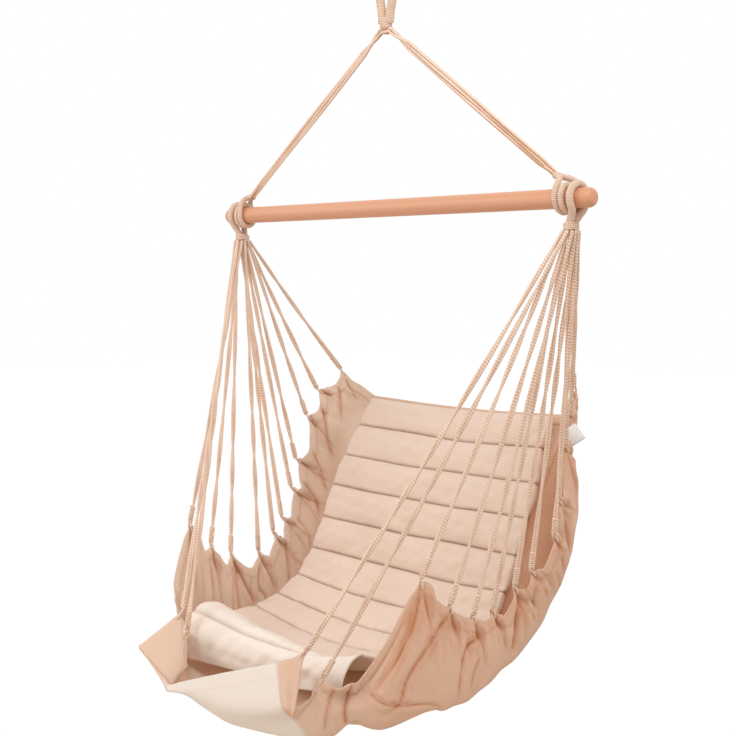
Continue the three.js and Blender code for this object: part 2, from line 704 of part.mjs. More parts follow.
function sling() {
  const shell = (sign) => clothGrid.map((row, i) => row.map((p, j) => {
    const hem = j < 2 || j > lastColumn - 2 || i === 0 || i === clothGrid.length - 1;
    const half = (hem ? HEM_THICKNESS : CLOTH_THICKNESS) / 2;
    return p.clone().addScaledVector(clothNormal(i, j), sign * half);
  }));
  let solid = toSolid(skinSheet(shell(1), shell(-1)));
  SIDES.forEach(([, s]) => cordEndShares.forEach((_, k) => {
    solid = solid.subtract(eyeletCut(s, k));
  }));
  return toGeometry(solid);
}

// Suspension lines

function suspensionLine(s, k) {
  const { middle, outward, facing } = eyelet(s, k);
  const centre = middle.clone().addScaledVector(outward, BIGHT_RADIUS + BIGHT_SHIFT);
  const seat = bundleShares[k];
  const top = vec(BAR_OFFSET + s * (FAN_X - FAN_LEAN + seat[0] * LINE_SEAT), seat[1] * LINE_SEAT,
    -BAR_DROP - FAN_DROP - SEIZING_FLOOR - 2 * JOIN_GAP);
  const pull = top.clone().sub(centre);
  top.z -= (Math.hypot(pull.x, pull.y) / pull.length()) * ((LINE_STRAND + LINE_SPREAD_TOP) / 2);
  const across = vec().crossVectors(outward, facing);
  const lean = pull.clone().addScaledVector(across, -pull.dot(across)).normalize();
  const low = centre.clone().addScaledVector(lean, BIGHT_RADIUS);
  const bend = low.clone().lerp(top, 0.5);
  bend.z -= 2 * LINE_SAG * Math.hypot(top.x - low.x, top.y - low.y);
  const route = new THREE.QuadraticBezierCurve3(low, bend, top);
  const length = route.getLength();
  const ringAt = (distance, spread, radius, turn) => {
    const centre = route.getPointAt(Math.max(0, distance / length));
    const along = route.getTangentAt(Math.max(0, distance / length));
    const side = vec(0, 1, 0).cross(along).normalize();
    const front = vec().crossVectors(along, side);
    centre.addScaledVector(along, Math.min(0, distance));
    const ring = [];
    for (let j = 0; j < LINE_SIDES; j++) {
      const angle = (2 * Math.PI * j) / LINE_SIDES;
      const x = Math.cos(angle) * radius + (Math.sign(Math.cos(angle)) * spread) / 2;
      const y = Math.sin(angle) * radius;
      const u = x * Math.cos(turn) - y * Math.sin(turn);
      const v = x * Math.sin(turn) + y * Math.cos(turn);
      ring.push(centre.clone().addScaledVector(side, u).addScaledVector(front, v));
    }
    return ring;
  };
  const radius = LINE_STRAND / 2;
  const barrel = BARREL_DIAMETER / 2;
  const turnAt = (distance) => (2 * Math.PI * LINE_TWISTS * (length - distance)) / length;
  const rings = [
    ringAt(-BIGHT_CORD / 2, 0, radius * BARREL_FOOT_SHARE, 0),
    ringAt(BARREL_LENGTH * BARREL_START_SHARE, 0, barrel, 0),
    ringAt(BARREL_LENGTH * BARREL_END_SHARE, 0, barrel, 0),
    ringAt(BARREL_LENGTH, LINE_SPREAD * BARREL_SPREAD_SHARE, radius, turnAt(BARREL_LENGTH)),
  ];
  for (let i = 1; i <= LINE_SECTIONS; i++) {
    const distance = mix(BARREL_LENGTH, length, i / LINE_SECTIONS);
    const spread = mix(LINE_SPREAD_TOP, LINE_SPREAD, Math.min(1, (length - distance) / LINE_SPREAD_RUN));
    rings.push(ringAt(distance, spread, radius, turnAt(distance)));
  }
  const body = toSolid(skinRings(rings));
  const bight = new THREE.TorusGeometry(BIGHT_RADIUS, BIGHT_CORD / 2, BIGHT_SIDES, BIGHT_SEGMENTS);
  bight.applyMatrix4(new THREE.Matrix4().makeBasis(outward, facing, across).setPosition(centre));
  return toGeometry(body.add(toSolid(bight)));
}

// Side label: a blank tag that hangs from the hem near the upper right corner
function sideLabel() {
  const i = rightRows.findIndex((row) => row.cordEnd === 1) + 1;
  const edge = clothGrid[i][lastColumn];
  const inner = clothGrid[i][lastColumn - 1];
  const along = clothGrid[i + 1][lastColumn].clone().sub(clothGrid[i - 1][lastColumn]).normalize();
  const outward = edge.clone().sub(inner).normalize();
  outward.addScaledVector(along, -outward.dot(along)).normalize();
  const facing = vec().crossVectors(outward, along);
  const box = new THREE.BoxGeometry(LABEL_REACH, LABEL_WIDTH, LABEL_THICKNESS);
  const middle = edge.clone().addScaledVector(outward, LABEL_REACH / 2 - LABEL_LAP)
    .addScaledVector(facing, -(HEM_THICKNESS + LABEL_THICKNESS) / 2 - LABEL_GAP);
  box.applyMatrix4(new THREE.Matrix4().makeBasis(outward, along, facing).setPosition(middle));
  return box;
}

addPiece("hang_eye", hangEye(), cordMaterial);
addPiece("neck_wrap", toGeometry(ball(NECK_RADIUS)), cordMaterial);
addPiece("crown_knot", crownKnot(), cordMaterial);
addPiece("spreader_bar", spreaderBar(), woodMaterial);
for (const [name, s] of SIDES) {
  for (let n = 0; n < LEG_STRANDS; n++) {
    addPiece(`leg_strand_${name}_${n + 1}`, toGeometry(toSolid(legStrand(s, n))), cordMaterial);
  }
  addPiece(`leg_hitch_${name}`, legHitch(s), cordMaterial);
  addPiece(`fan_eye_${name}`, fanEye(s), cordMaterial);
  addPiece(`fan_seizing_${name}`, fanSeizing(s), cordMaterial);
  cordEndShares.forEach((_, k) => {
    addPiece(`line_${name}_${String(k + 1).padStart(2, "0")}`, suspensionLine(s, k), cordMaterial);
  });
}
addPiece("sling", sling(), clothMaterial);
addPiece("quilted_pad", quiltedPad(), padMaterial);
addPiece("side_label", sideLabel(), labelMaterial);

export default chair;
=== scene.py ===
"""Looks of the hanging hammock chair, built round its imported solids.

Metres, +Z up, the bar along X, the sitter facing -Y, and the origin where the hook bears in the eye.
"""
import math
from functools import partial

import bpy
import numpy as np
from mathutils import Euler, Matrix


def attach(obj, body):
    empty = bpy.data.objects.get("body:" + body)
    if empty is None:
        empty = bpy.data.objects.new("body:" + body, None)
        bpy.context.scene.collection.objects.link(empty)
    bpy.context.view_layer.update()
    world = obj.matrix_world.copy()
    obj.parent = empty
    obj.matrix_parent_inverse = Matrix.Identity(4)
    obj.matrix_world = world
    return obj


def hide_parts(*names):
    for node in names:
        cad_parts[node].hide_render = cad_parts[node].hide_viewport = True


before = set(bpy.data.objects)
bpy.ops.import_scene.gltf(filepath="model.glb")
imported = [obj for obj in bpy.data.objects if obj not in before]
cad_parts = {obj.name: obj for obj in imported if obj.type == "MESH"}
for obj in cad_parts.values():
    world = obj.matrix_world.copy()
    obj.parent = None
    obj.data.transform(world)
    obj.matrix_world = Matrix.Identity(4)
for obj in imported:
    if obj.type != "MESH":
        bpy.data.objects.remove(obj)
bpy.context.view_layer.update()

# Camera, fitted to the photograph
CAMERA_PLACE = (1.7422, -1.7513, -0.6507)
CAMERA_HEADING = 45.47
CAMERA_PITCH = -3.66
CAMERA_ROLL = 0.75
CAMERA_LENS = 60.4
CAMERA_SENSOR = 36.0

# Frame of the chair, as in the solids
FIT_GAP = 0.0004
JOIN_GAP = 0.0003
BAR_LENGTH = 1.0
BAR_RADIUS = 0.0175
BAR_END_ROUND = 0.012
BAR_DROP = 0.49
BAR_OFFSET = 0.006
EYE_ROPE = 0.018
EYE_HALF_WIDTH = 0.027
PIVOT_DROP = 0.133
NECK_RADIUS = 0.012
CROWN_RADIUS = 0.023
LEG_STRAND = 0.006
LEG_STRANDS = 3
LEG_BUNDLE_RADIUS = 0.0038
LEG_TURNS = 0.5
LEG_FLAT_SPREAD = 0.0058
LEG_WAVE = 0.0012
HITCH_ROPE = 0.0112
HITCH_CORE = 0.011
HITCH_PITCH = 0.013
HITCH_INNER_X = 0.432
HITCH_TURNS = 2
HITCH_OPEN_ANGLE = 3.1
HITCH_HEIGHT = 0.041
HITCH_LEAN = 0.014
HITCH_END_GAP = 0.0024
HITCH_LEAVE_DROP = 0.008
TURN_SAMPLES = 240
FAN_ROPE = 0.0134
FAN_EYE_GAP = 0.001
FAN_OPEN_ANGLE = 1.9
FAN_DROP = 0.054
FAN_LEAN = 0.013
FAN_THROAT_GAP = 0.0006
SEIZING_FLOOR = 0.0025
SEIZING_DROP = 0.0012
SEIZING_CORD = 0.0034
SEIZING_STAND = 0.0016
SEIZING_FLAT = 0.0073
SEIZING_PITCH = 0.0031
SEIZING_TURNS = 4
LINE_STRAND = 0.0054
LINE_SPREAD_TOP = 0.0018
LINE_SPREAD = 0.0048
LINE_SPREAD_RUN = 0.26
LINE_TWIST = 0.27
LINE_TURN_STEP = 1.7
LINE_WANDER = 0.9
LINE_WANDER_WAVE = 11
LINE_SEAT = 0.0086
LINE_SAG = 0.025
BARREL_TURNS = 7
BARREL_PITCH = 0.0045
BARREL_START = 0.004
BARREL_WIND = 0.0039
NECK_RAISE = 0.004
BIGHT_RADIUS = 0.0095
BIGHT_CORD = 0.0042
BIGHT_FLATTEN = 0.45
BIGHT_SHIFT = 0.0018
EYELET_DEPTH = 0.012
CORNER_EYELET_DEPTH = 0.0156

# Seat, as in the solids
EDGE_HALF_WIDTH = 0.37
EDGE_REACH = 0.376
EDGE_DROP = 0.831
SEAT_LEAN = 0.0234
PAD_HALF_WIDTH = 0.258
PAD_FRONT_HALF_WIDTH = 0.23
PAD_CHANNELS = 11
PAD_THICKNESS = 0.03
PAD_SEAM_THICKNESS = 0.007
PAD_SIDE_THICKNESS = 0.008
PAD_DRAWN_IN = 0.007
PAD_FRONT_RUN = 0.03
PAD_RIGHT_SPREAD = 0.032
PAD_RIGHT_TUCK = 0.008
PAD_PRESSED = 0.6
PRESSED_DROP = 0.35
PAD_ROLL_SHARE = 0.35
ROLL_RIGHT_LOSS = 0.85
PAD_FRONT_LIGHT = 0.6
SEAM_DRIFT_SHARE = 0.0022
WOBBLE_HEIGHT = 0.0016
PAD_LIFT_BACK = 0.016
PAD_LIFT_FRONT = 0.034
CLOTH_THICKNESS = 0.0018
HEM_THICKNESS = 0.0034
SOLID_CLOTH = 0.0024
CLOTH_GAP = 0.003
FOOT_MARGIN = 0.014
UNDER_COLUMNS = 2
WALL_COLUMNS = 4
HEM_INSET = 0.026
MOST_HEM_SHARE = 0.3
BACK_BULGE = 0.028
SEAT_BULGE = 0.104
SIDE_BULGE = 0.034
CORD_ROW_SHARE = 0.93
BULGE_START_SHARE = 0.08
BULGE_FULL_SHARE = 0.26
BACK_DROOP = 0.012
SEAT_DROOP = 0.032
FOLD_OUT = 0.012
FOOT_SINK = 0.012
LIP_BEND_SHARE = 0.8
WALL_START_SHARE = 0.3

LABEL_WIDTH = 0.034
LABEL_REACH = 0.03
LABEL_LAP = 0.008
LABEL_THICKNESS = 0.0012
LABEL_SHIFT = 0.014
LABEL_TILT = 0.63
LABEL_CURL = 0.003

# Where a change of the pad's form starts and over how much it comes in, in shares of its run or width
LEFT_RAMP = (0.1, 0.7)
FRONT_RUN_RAMP = (0.72, 0.28)
SPREAD_RAMP = (0.03, 0.2)
SPREAD_END_RAMP = (0.55, 0.25)
TUCK_RAMP = (0.78, 0.14)
TUCK_SIDE_RAMP = (0.7, 0.3)
ROLL_RAMP = (0.8, 0.12)
PRESSED_RAMP = (0.74, 0.14)
PRESSED_SIDE_RAMP = (-0.1, 0.6)
# Painted light on the pad's lit front
FRONT_LIGHT_RAMP = (0.78, 0.1)

# Fineness of the dressed pieces
PROFILE_SAMPLES = 60
CHANNEL_STEPS = 24
PAD_STEPS = 130
ROPE_SIDES = 12
ROPE_STEP = 0.002
CORD_STEP = 0.004

# Folds and stitching of the cloth
HANG_ROW_STEPS = 6
HANG_UNDER_STEPS = 4
HANG_WALL_STEPS = 16
FINER_ROWS = 3
FINER_COLUMNS = 6
HANG_FRAMES = 22
HANG_SETTINGS = {
    "quality": 8, "mass": 0.25, "air_damping": 2.0, "tension_stiffness": 40,
    "compression_stiffness": 40, "shear_stiffness": 12, "bending_stiffness": 2.0,
    "bending_damping": 1.0, "tension_damping": 10, "compression_damping": 10, "shear_damping": 5,
}
EDGE_SLACK = 0.08
MOST_SLACK = 0.3
ACROSS_SLACK = -0.03
MOST_SHIFT = 0.05
PUFF_HEIGHT = 0.008
PUFF_WAVES = (0.6, 1.6)
PUFF_SIDE_SHIFT = 0.35
PUFF_UNEVEN = 0.3
CREASE_DEPTH = 0.0042
CREASE_WIDTH = 0.004
CREASE_ROWS = 60
CREASE_END_SHARE = 0.3
CREASE_START_RAMP = (-0.05, 0.12)
SHOULDER_APART = 3
SHOULDER_SPREAD = 1.8
SHOULDER_SHARE = 0.45
CREASE_SHADE = 0.55
KNOT_CREASES = 4
KNOT_LEANS = (-0.4, 0.4)
KNOT_REACHES = (0.15, 0.42)
KNOT_WEIGHTS = (0.25, 0.6)
RELAXED_SINK = 0.002
FLATTER_SHARE = 0.75
FLATTER_CORD = 6
FLATTER_SPREAD = 1.5
# Painted light on the lit inner face of the left wall
LEFT_WALL_LIGHT = 0.45
FREED_RAMP = (0.45, 0.4)
WALL_TONE_REACH = 0.2
LIP_WALL_LOSS = 0.8
# Painted light on the lit lip, from this cord number on
LIP_LIGHT_RAMP = (10.2, 0.5)
LIP_CORD = 10.4
LIP_CORD_REACH = 0.4
# Painted shade laid over the outer face of the right side wall
RIGHT_WALL_SHADE = 0.16
RELAXED_CORD_ROW_SHARE = 0.997
TUCK_SHARE = 0.15
TUCK_CORD = 7.2
TUCK_SPREAD = 1.3
FOLD_DEPTH = 0.0035
HEM_WIDTH = 0.024
HEM_FADE = 0.003
SEAM_WIDTH = 0.0022
PUCKER_PITCH = 0.014
PUCKER_REACH = 0.01
PUCKER_HEIGHT = 0.0006
SEAM_SINK = 0.0012
RIPPLE_SEED = 7

# Finest and coarsest waves of the pad's unevenness
DRIFT_WAVES = (0.09, 0.3)
CRIMP_WAVES = (0.018, 0.05)
PLUMP_WAVES = (0.12, 0.3)
WOBBLE_WAVES = (0.025, 0.12)

# Whipping and lay of the ropes, and the depth of each surface's relief
WHIP_PITCH = 0.0031
WHIP_UNEVEN_SHARE = 0.02
WHIP_WAVES = (410, 173)
LAY_PITCH = 0.017
CLOTH_RELIEF = 0.0016
CORD_RELIEF = 0.0008
LEG_RELIEF = 0.0002
WOOD_RELIEF = 0.0004
TAPE_RELIEF = 0.0003
WEAVE_SCALE = 240.0
CLOTH_WRINKLE = 26.0
PAD_WRINKLE = 34.0

# Colours, red green blue from 0 to 255: own colours as they look in plain light, and the colours of painted
# shade and painted light
CLOTH_COLOUR = (236, 208, 184)
# Shade-and-mottle colours: painted shade in folds, seams and grooves, and also the tone of random patches and
# slubs
CLOTH_SHADE_AND_MOTTLE = (206, 138, 92)
PAD_COLOUR = (230, 206, 188)
PAD_SHADE_AND_MOTTLE = (150, 104, 80)
CORD_COLOUR = (238, 211, 189)
CORD_SHADE_AND_MOTTLE = (186, 138, 108)
LEG_SHADE_AND_MOTTLE = (190, 126, 84)
WOOD_COLOUR = (219, 160, 124)
WOOD_DEEP = (198, 136, 100)
FLECK_COLOUR = (160, 100, 70)
LABEL_COLOUR = (240, 238, 236)
LABEL_DEEP = (226, 222, 218)
THREAD_COLOUR = (206, 160, 126)
GLOW_COLOUR = (250, 218, 190)
GLOW_SHARE = 0.3
PAD_GLOW_SHARE = 0.03
# Painted light: the paler colour laid on the lit lip, the lit inner left wall and the lit front of the pad
PAINTED_LIGHT_COLOUR = (247, 238, 228)
FLOOR_COLOUR = (220, 208, 196)
FLOOR_DROP = 1.8
FLOOR_REACH = 14.0
FLOOR_GLOW = 1.045
FLOOR_GLOW_SHARE = 0.96
WORLD_COLOUR = (1, 0.985, 0.97, 1)
WORLD_STRENGTH = 0.78
WHITE = (1, 1, 1, 1)

# Lamps: place, aim, size and power
LAMPS = {
    "front_lamp": ((-0.9, -1.75, -0.75), (-0.05, -0.4, -1.35), 0.7, 4.5),
    "key_lamp": ((-2.4, -2.6, 0.5), (0, 0, -1.0), 1.8, 22),
    "fill_lamp": ((1.7, -1.0, 1.5), (-0.3, -0.2, -1.1), 1.6, 34),
}

SIDES = (("left", -1), ("right", 1))

# Places as in the solids, in shares of the half width, the reach and the drop
cord_end_shares = [
    (0.886, 0.508, 0.426), (0.954, 0.388, 0.48), (0.976, 0.316, 0.552), (0.995, 0.245, 0.669),
    (1.0, 0.207, 0.747), (0.951, 0.088, 0.819), (0.922, -0.008, 0.852), (0.895, -0.146, 0.894),
    (0.927, -0.327, 0.888), (0.916, -0.479, 0.853), (0.889, -0.644, 0.787), (0.524, -0.941, 1.0),
    (0.484, -1.0, 0.937),
]
foot_shares = [-0.018, 0.065, 0.19, 0.3, 0.385, 0.46, 0.535, 0.605, 0.675, 0.745, 0.81]
pad_profile_shares = [
    (0.59, 0.499), (0.314, 0.688), (0.128, 0.872), (0.013, 0.945), (-0.213, 1.001), (-0.452, 1.018),
    (-0.61, 1.01), (-0.7, 0.985), (-0.775, 0.978), (-0.826, 1.002), (-0.836, 1.042),
]
lip_shares = [
    {"middle": (-0.8, 1.112), "foot": (0.716, -0.777, 1.085), "edge": (0.811, -0.803, 0.909),
     "left_edge": (0.859, -0.846, 0.906)},
    {"middle": (-0.92, 1.142), "foot": (0.627, -0.864, 1.085), "edge": (0.703, -0.87, 0.976),
     "left_edge": (0.68, -0.91, 0.94)},
    {"middle": (-1.0, 1.146), "foot": (0.53, -0.92, 1.125), "edge": (0.64, -0.905, 0.972),
     "left_edge": (0.6, -0.92, 0.955)},
    {"middle": (-1.06, 1.138), "foot": (0.5, -1.0, 1.12), "edge": (0.6, -0.93, 0.998)},
    {"middle": (-1.11, 1.118), "foot": (0.46, -1.06, 1.075), "cord_end": 11,
     "left_foot": (0.46, -1.08, 1.095)},
    {"middle": (-1.14, 1.08), "foot": (0.45, -1.12, 1.04), "edge": (0.53, -1.12, 1.043),
     "left_foot": (0.44, -1.15, 1.115), "left_edge": (0.44, -1.04, 1.05)},
    {"middle": (-1.1, 1.02), "foot": (0.33, -1.05, 0.97), "cord_end": 12,
     "left_foot": (0.4, -1.14, 1.085), "left_wall": (0.7, -1.33, 0.985)},
]
dressed_lip_shares = [
    {**lip_shares[0], "left_edge": (0.865, -0.829, 0.906), "push_share": 0.3},
    {**lip_shares[1], "left_edge": (0.711, -0.841, 0.954), "push_share": 0.08},
    {**lip_shares[2], "left_edge": (0.648, -0.873, 0.963)},
    *lip_shares[3:5],
    {**lip_shares[5], "left_foot": (0.405, -1.145, 1.1), "left_edge": (0.408, -1.04, 1.05)},
    {**lip_shares[6], "left_tip": (0.648, -1.156, 1.02), "bend": 0},
]
bundle_shares = [
    (-0.5, 2), (0.5, 2), (-1, 1), (0, 1), (1, 1), (1, 0), (0, 0), (-1, 0), (1, -1), (0, -1), (-1, -1),
    (0.5, -2), (-0.5, -2),
]

# Main creases of each side wall: places by cord number and share of the wall, and how strong each is
crease_shares = {
    "right": [
        ([(9.05, 1), (9.5, 0.9), (10, 0.78), (10.1, 0.7), (10.15, 0.55), (10.25, 0.48)], 0.9),
        ([(10.5, 1), (10.52, 0.7), (10.5, 0.4), (10.45, 0.2)], 1.1),
        ([(10.78, 0.98), (10.76, 0.6), (10.72, 0.3)], 0.8),
        ([(7.95, 0.92), (8.5, 0.86), (8.8, 0.7), (9, 0.42)], 1.2),
        ([(8.05, 0.8), (8.3, 0.7), (8.5, 0.55)], 0.7),
        ([(10.01, 0.97), (10.08, 0.88), (10.2, 0.8), (10.32, 0.7)], 0.9),
        ([(10.05, 0.98), (10.2, 0.92), (10.33, 0.86)], 0.6),
        ([(9.95, 0.95), (9.9, 0.85), (9.85, 0.7)], 0.5),
        ([(6, 0.97), (6.2, 0.9), (6.45, 0.8), (6.6, 0.65)], 1.5),
        ([(4.95, 0.93), (5.1, 0.75)], 0.5),
        ([(4.4, 0.88), (4.6, 0.6)], 0.5),
        ([(5.1, 0.97), (5.6, 0.85), (5.9, 0.7)], 0.7),
        ([(3.1, 0.95), (3.5, 0.8), (3.9, 0.65)], 1),
        ([(10.3, 0.75), (10.2, 0.6), (10, 0.45), (9.6, 0.4)], 0.6),
    ],
    "left": [
        ([(9.2, 0.95), (9.25, 0.6), (9, 0.2)], 0.9),
        ([(8, 0.97), (8.4, 0.8), (8.6, 0.5)], 0.7),
        ([(7.9, 0.95), (8.2, 0.8), (8.3, 0.4)], 1.1),
        ([(7.6, 0.92), (7.7, 0.8), (7.75, 0.5)], 0.6),
        ([(7.2, 0.95), (7.4, 0.85), (7.3, 0.7), (7.25, 0.4)], 0.9),
        ([(6.9, 0.88), (6.8, 0.6)], 0.5),
        ([(5.6, 0.97), (6.1, 0.8), (6.4, 0.6), (6.6, 0.35)], 1.5),
        ([(9.7, 0.9), (9.6, 0.6), (9.3, 0.3)], 0.6),
        ([(3.4, 0.97), (3.7, 0.8), (4.2, 0.6)], 1.3),
        ([(4.5, 0.95), (4.8, 0.75), (5.2, 0.55)], 0.8),
        ([(2.5, 0.97), (2.9, 0.75), (3.3, 0.6)], 0.9),
        ([(1.4, 0.97), (1.9, 0.8), (2.4, 0.65)], 1.2),
        ([(0.5, 0.95), (0.9, 0.75), (1.4, 0.6)], 0.9),
        ([(0.15, 0.9), (0.5, 0.6)], 0.6),
    ],
}

eye_route_shares = [(0.05, 0.87), (0.19, 0.76), (0.69, 0.46), (1, 0.27), (0.86, 0.08)]

random = np.random.default_rng(RIPPLE_SEED)


def vec(x, y, z):
    return np.array([x, y, z], float)


def length(v):
    return np.linalg.norm(v, axis=-1, keepdims=True)


def unit(v):
    return v / np.maximum(length(v), 1e-9)


def mix(a, b, share):
    return a + (b - a) * share


def smooth(t):
    t = np.clip(t, 0, 1)
    return t * t * (3 - 2 * t)


def ramp(value, start, reach):
    """0 up to the start, 1 from the reach past it on, and a smooth rise between"""
    return smooth((value - start) / reach)


def along(path):
    """Distance run at each point of a path"""
    steps = np.linalg.norm(np.diff(path, axis=0), axis=1)
    return np.concatenate([[0], np.cumsum(steps)])


def evenly(path, count):
    """The same path at equally spaced points"""
    run = along(path)
    at = np.linspace(0, run[-1], count)
    return np.stack([np.interp(at, run, path[:, k]) for k in range(3)], axis=1)


def ripples(x, y, waves, finest, coarsest):
    """A smooth irregular field between about -1 and 1, made of seeded waves"""
    total = np.zeros(np.broadcast(x, y).shape)
    for _ in range(waves):
        heading = random.uniform(0, 2 * math.pi)
        wave = random.uniform(finest, coarsest)
        phase = random.uniform(0, 2 * math.pi)
        total = total + np.sin((x * math.cos(heading) + y * math.sin(heading)) * 2 * math.pi / wave + phase)
    return total / math.sqrt(waves)


# Curves


def with_ends(points):
    """Points with one more at each end, on the line of the last two"""
    return np.concatenate([2 * points[:1] - points[1:2], points, 2 * points[-1:] - points[-2:-1]])


def hermite(start, end, leave, arrive, t):
    return ((2 * t**3 - 3 * t**2 + 1) * start + (t**3 - 2 * t**2 + t) * leave
            + (3 * t**2 - 2 * t**3) * end + (t**3 - t**2) * arrive)


def centripetal(points, samples):
    """Samples of the centripetal Catmull-Rom curve that the solids' profile follows"""
    points = with_ends(np.array(points, float))
    t = np.linspace(0, 1, samples, endpoint=False)[:, None]
    out = []
    for a, b, c, d in zip(points, points[1:], points[2:], points[3:]):
        before, here, after = (np.linalg.norm(q - p) ** 0.5 for p, q in ((a, b), (b, c), (c, d)))
        leave = ((b - a) / before - (c - a) / (before + here) + (c - b) / here) * here
        arrive = ((c - b) / here - (d - b) / (here + after) + (d - c) / after) * here
        out.append(hermite(b, c, leave, arrive, t))
    return np.vstack([*out, points[-2]])


def rounded_rows(rows, samples):
    """Rows of points made finer by a uniform Catmull-Rom curve through each column"""
    rows = with_ends(rows)
    t = np.linspace(0, 1, samples, endpoint=False)[:, None, None]
    out = [hermite(b, c, (c - a) / 2, (d - b) / 2, t)
           for a, b, c, d in zip(rows, rows[1:], rows[2:], rows[3:])]
    return np.concatenate([*out, rows[-2][None]])


def bezier(a, b, c, d, t):
    t = np.asarray(t)[:, None]
    return (1 - t) ** 3 * a + 3 * (1 - t) ** 2 * t * b + 3 * (1 - t) * t**2 * c + t**3 * d


def frames_of(path):
    """Directions along a path, and two that stay square to it with the least turning"""
    tangents = unit(np.gradient(path, axis=0))
    normal = np.cross(tangents[0], vec(0, 0, 1))
    if np.linalg.norm(normal) < 0.1:
        normal = np.cross(tangents[0], vec(0, 1, 0))
    normals = []
    for tangent in tangents:
        normal = unit(normal - tangent * np.dot(normal, tangent))
        normals.append(normal)
    normals = np.array(normals)
    return tangents, normals, np.cross(tangents, normals)


# Meshes


def srgb(colour):
    """Linear red green blue of a colour given from 0 to 255"""
    shares = np.array(colour) / 255
    return tuple(np.where(shares <= 0.04045, shares / 12.92, ((shares + 0.055) / 1.055) ** 2.4)) + (1,)


def placed(piece):
    bpy.context.scene.collection.objects.link(piece)
    return piece


def dress(piece, body, node=None):
    """Hang a piece on its body, and hide the solid it stands for"""
    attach(piece, body)
    if node:
        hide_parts(node)
    return piece


def mesh_piece(name, verts, faces, uvs, material, fields=None):
    mesh = bpy.data.meshes.new(name)
    mesh.from_pydata(np.asarray(verts).tolist(), [], faces)
    layer = mesh.uv_layers.new(name="run")
    layer.data.foreach_set("uv", np.asarray(uvs, float).ravel())
    for key, values in (fields or {}).items():
        attribute = mesh.attributes.new(key, "FLOAT", "POINT")
        attribute.data.foreach_set("value", np.asarray(values, float).ravel())
    mesh.materials.append(material)
    mesh.shade_smooth()
    mesh.validate()
    return placed(bpy.data.objects.new(name, mesh))


def tube_parts(path, radius, sides=ROPE_SIDES, round_ends=True):
    """Vertices, faces and run of a closed tube; radius may differ along and round it"""
    _, normals, binormals = frames_of(path)
    count = len(path)
    radius = np.broadcast_to(np.asarray(radius, float).reshape(count if np.ndim(radius) else 1, -1),
                             (count, sides))
    angle = np.arange(sides) * 2 * math.pi / sides
    rings = (path[:, None] + (np.cos(angle) * radius)[..., None] * normals[:, None]
             + (np.sin(angle) * radius)[..., None] * binormals[:, None])
    run = along(path)
    verts = list(rings.reshape(-1, 3))
    faces = []
    uvs = []
    for i in range(count - 1):
        for j in range(sides):
            a = i * sides + j
            b = i * sides + (j + 1) % sides
            faces.append((a, b, b + sides, a + sides))
            uvs += [(j / sides, run[i]), ((j + 1) / sides, run[i]),
                    ((j + 1) / sides, run[i + 1]), (j / sides, run[i + 1])]
    for i, order in ((0, -1), (count - 1, 1)):
        base = i * sides
        swell = unit(path[i] - path[1 if i == 0 else -2]) * radius[i].mean() * (0.5 if round_ends else 0)
        verts.append(path[i] + swell)
        tip = len(verts) - 1
        for j in range(sides):
            pair = (base + j, base + (j + 1) % sides)
            faces.append((*pair[::order], tip))
            uvs += [(j / sides, run[i])] * 3
    return verts, faces, uvs


def joined(parts):
    """Several vertex, face and run lists as one"""
    verts = []
    faces = []
    uvs = []
    for part_verts, part_faces, part_uvs in parts:
        start = len(verts)
        verts += list(part_verts)
        faces += [tuple(v + start for v in face) for face in part_faces]
        uvs += part_uvs
    return verts, faces, uvs


def whipped(path, radius):
    """Radius of a rope wound closely with cord, slightly uneven along its run"""
    run = along(path)[:, None]
    first, second = WHIP_WAVES
    uneven = WHIP_UNEVEN_SHARE * np.sin(run * first) * np.sin(run * second + 1)
    return radius * (1 + uneven) + 0 * np.arange(ROPE_SIDES)


# Materials


def link(tree, value, socket):
    """Set a socket to a value, or lead another socket into it"""
    if isinstance(value, bpy.types.NodeSocket):
        tree.links.new(value, socket)
    else:
        socket.default_value = value


def set_sockets(tree, node, sockets):
    """Set a node's inputs by name, with _ for a space"""
    for name, value in sockets.items():
        link(tree, value, node.inputs[name.replace("_", " ")])
    return node


def add_node(tree, kind, **sockets):
    return set_sockets(tree, tree.nodes.new(kind), sockets)


def add_math(tree, operation, first, second=0.0, clamp=False):
    node = tree.nodes.new("ShaderNodeMath")
    node.operation = operation
    node.use_clamp = clamp
    link(tree, first, node.inputs[0])
    link(tree, second, node.inputs[1])
    return node.outputs[0]


def material_nodes(name, **sockets):
    """A new material, its tree and shader, and a shorthand for sums in its tree"""
    material = bpy.data.materials.new(name)
    material.use_nodes = True
    tree = material.node_tree
    shader = set_sockets(tree, tree.nodes["Principled BSDF"], sockets)
    return material, tree, shader, partial(add_math, tree)


def blend_colours(tree, share, first, second):
    node = tree.nodes.new("ShaderNodeMix")
    node.data_type = "RGBA"
    for name, value in (("Factor", share), ("A", first), ("B", second)):
        link(tree, value, [s for s in node.inputs if s.name == name and s.enabled][0])
    return [s for s in node.outputs if s.enabled][0]


def mix_surfaces(tree, share, first, second, output="Material Output"):
    both = tree.nodes.new("ShaderNodeMixShader")
    for socket, value in zip(both.inputs, (share, first.outputs[0], second.outputs[0])):
        link(tree, value, socket)
    tree.links.new(both.outputs[0], tree.nodes[output].inputs["Surface"])


def add_bump(tree, shader, height, distance, strength):
    bump = add_node(tree, "ShaderNodeBump", Distance=distance, Strength=strength, Height=height)
    tree.links.new(bump.outputs["Normal"], shader.inputs["Normal"])


def object_place(tree):
    return tree.nodes.new("ShaderNodeTexCoord").outputs["Object"]


def run_place(tree):
    node = tree.nodes.new("ShaderNodeUVMap")
    node.uv_map = "run"
    return node.outputs["UV"]


def field(tree, name):
    node = tree.nodes.new("ShaderNodeAttribute")
    node.attribute_name = name
    return node.outputs["Fac"]


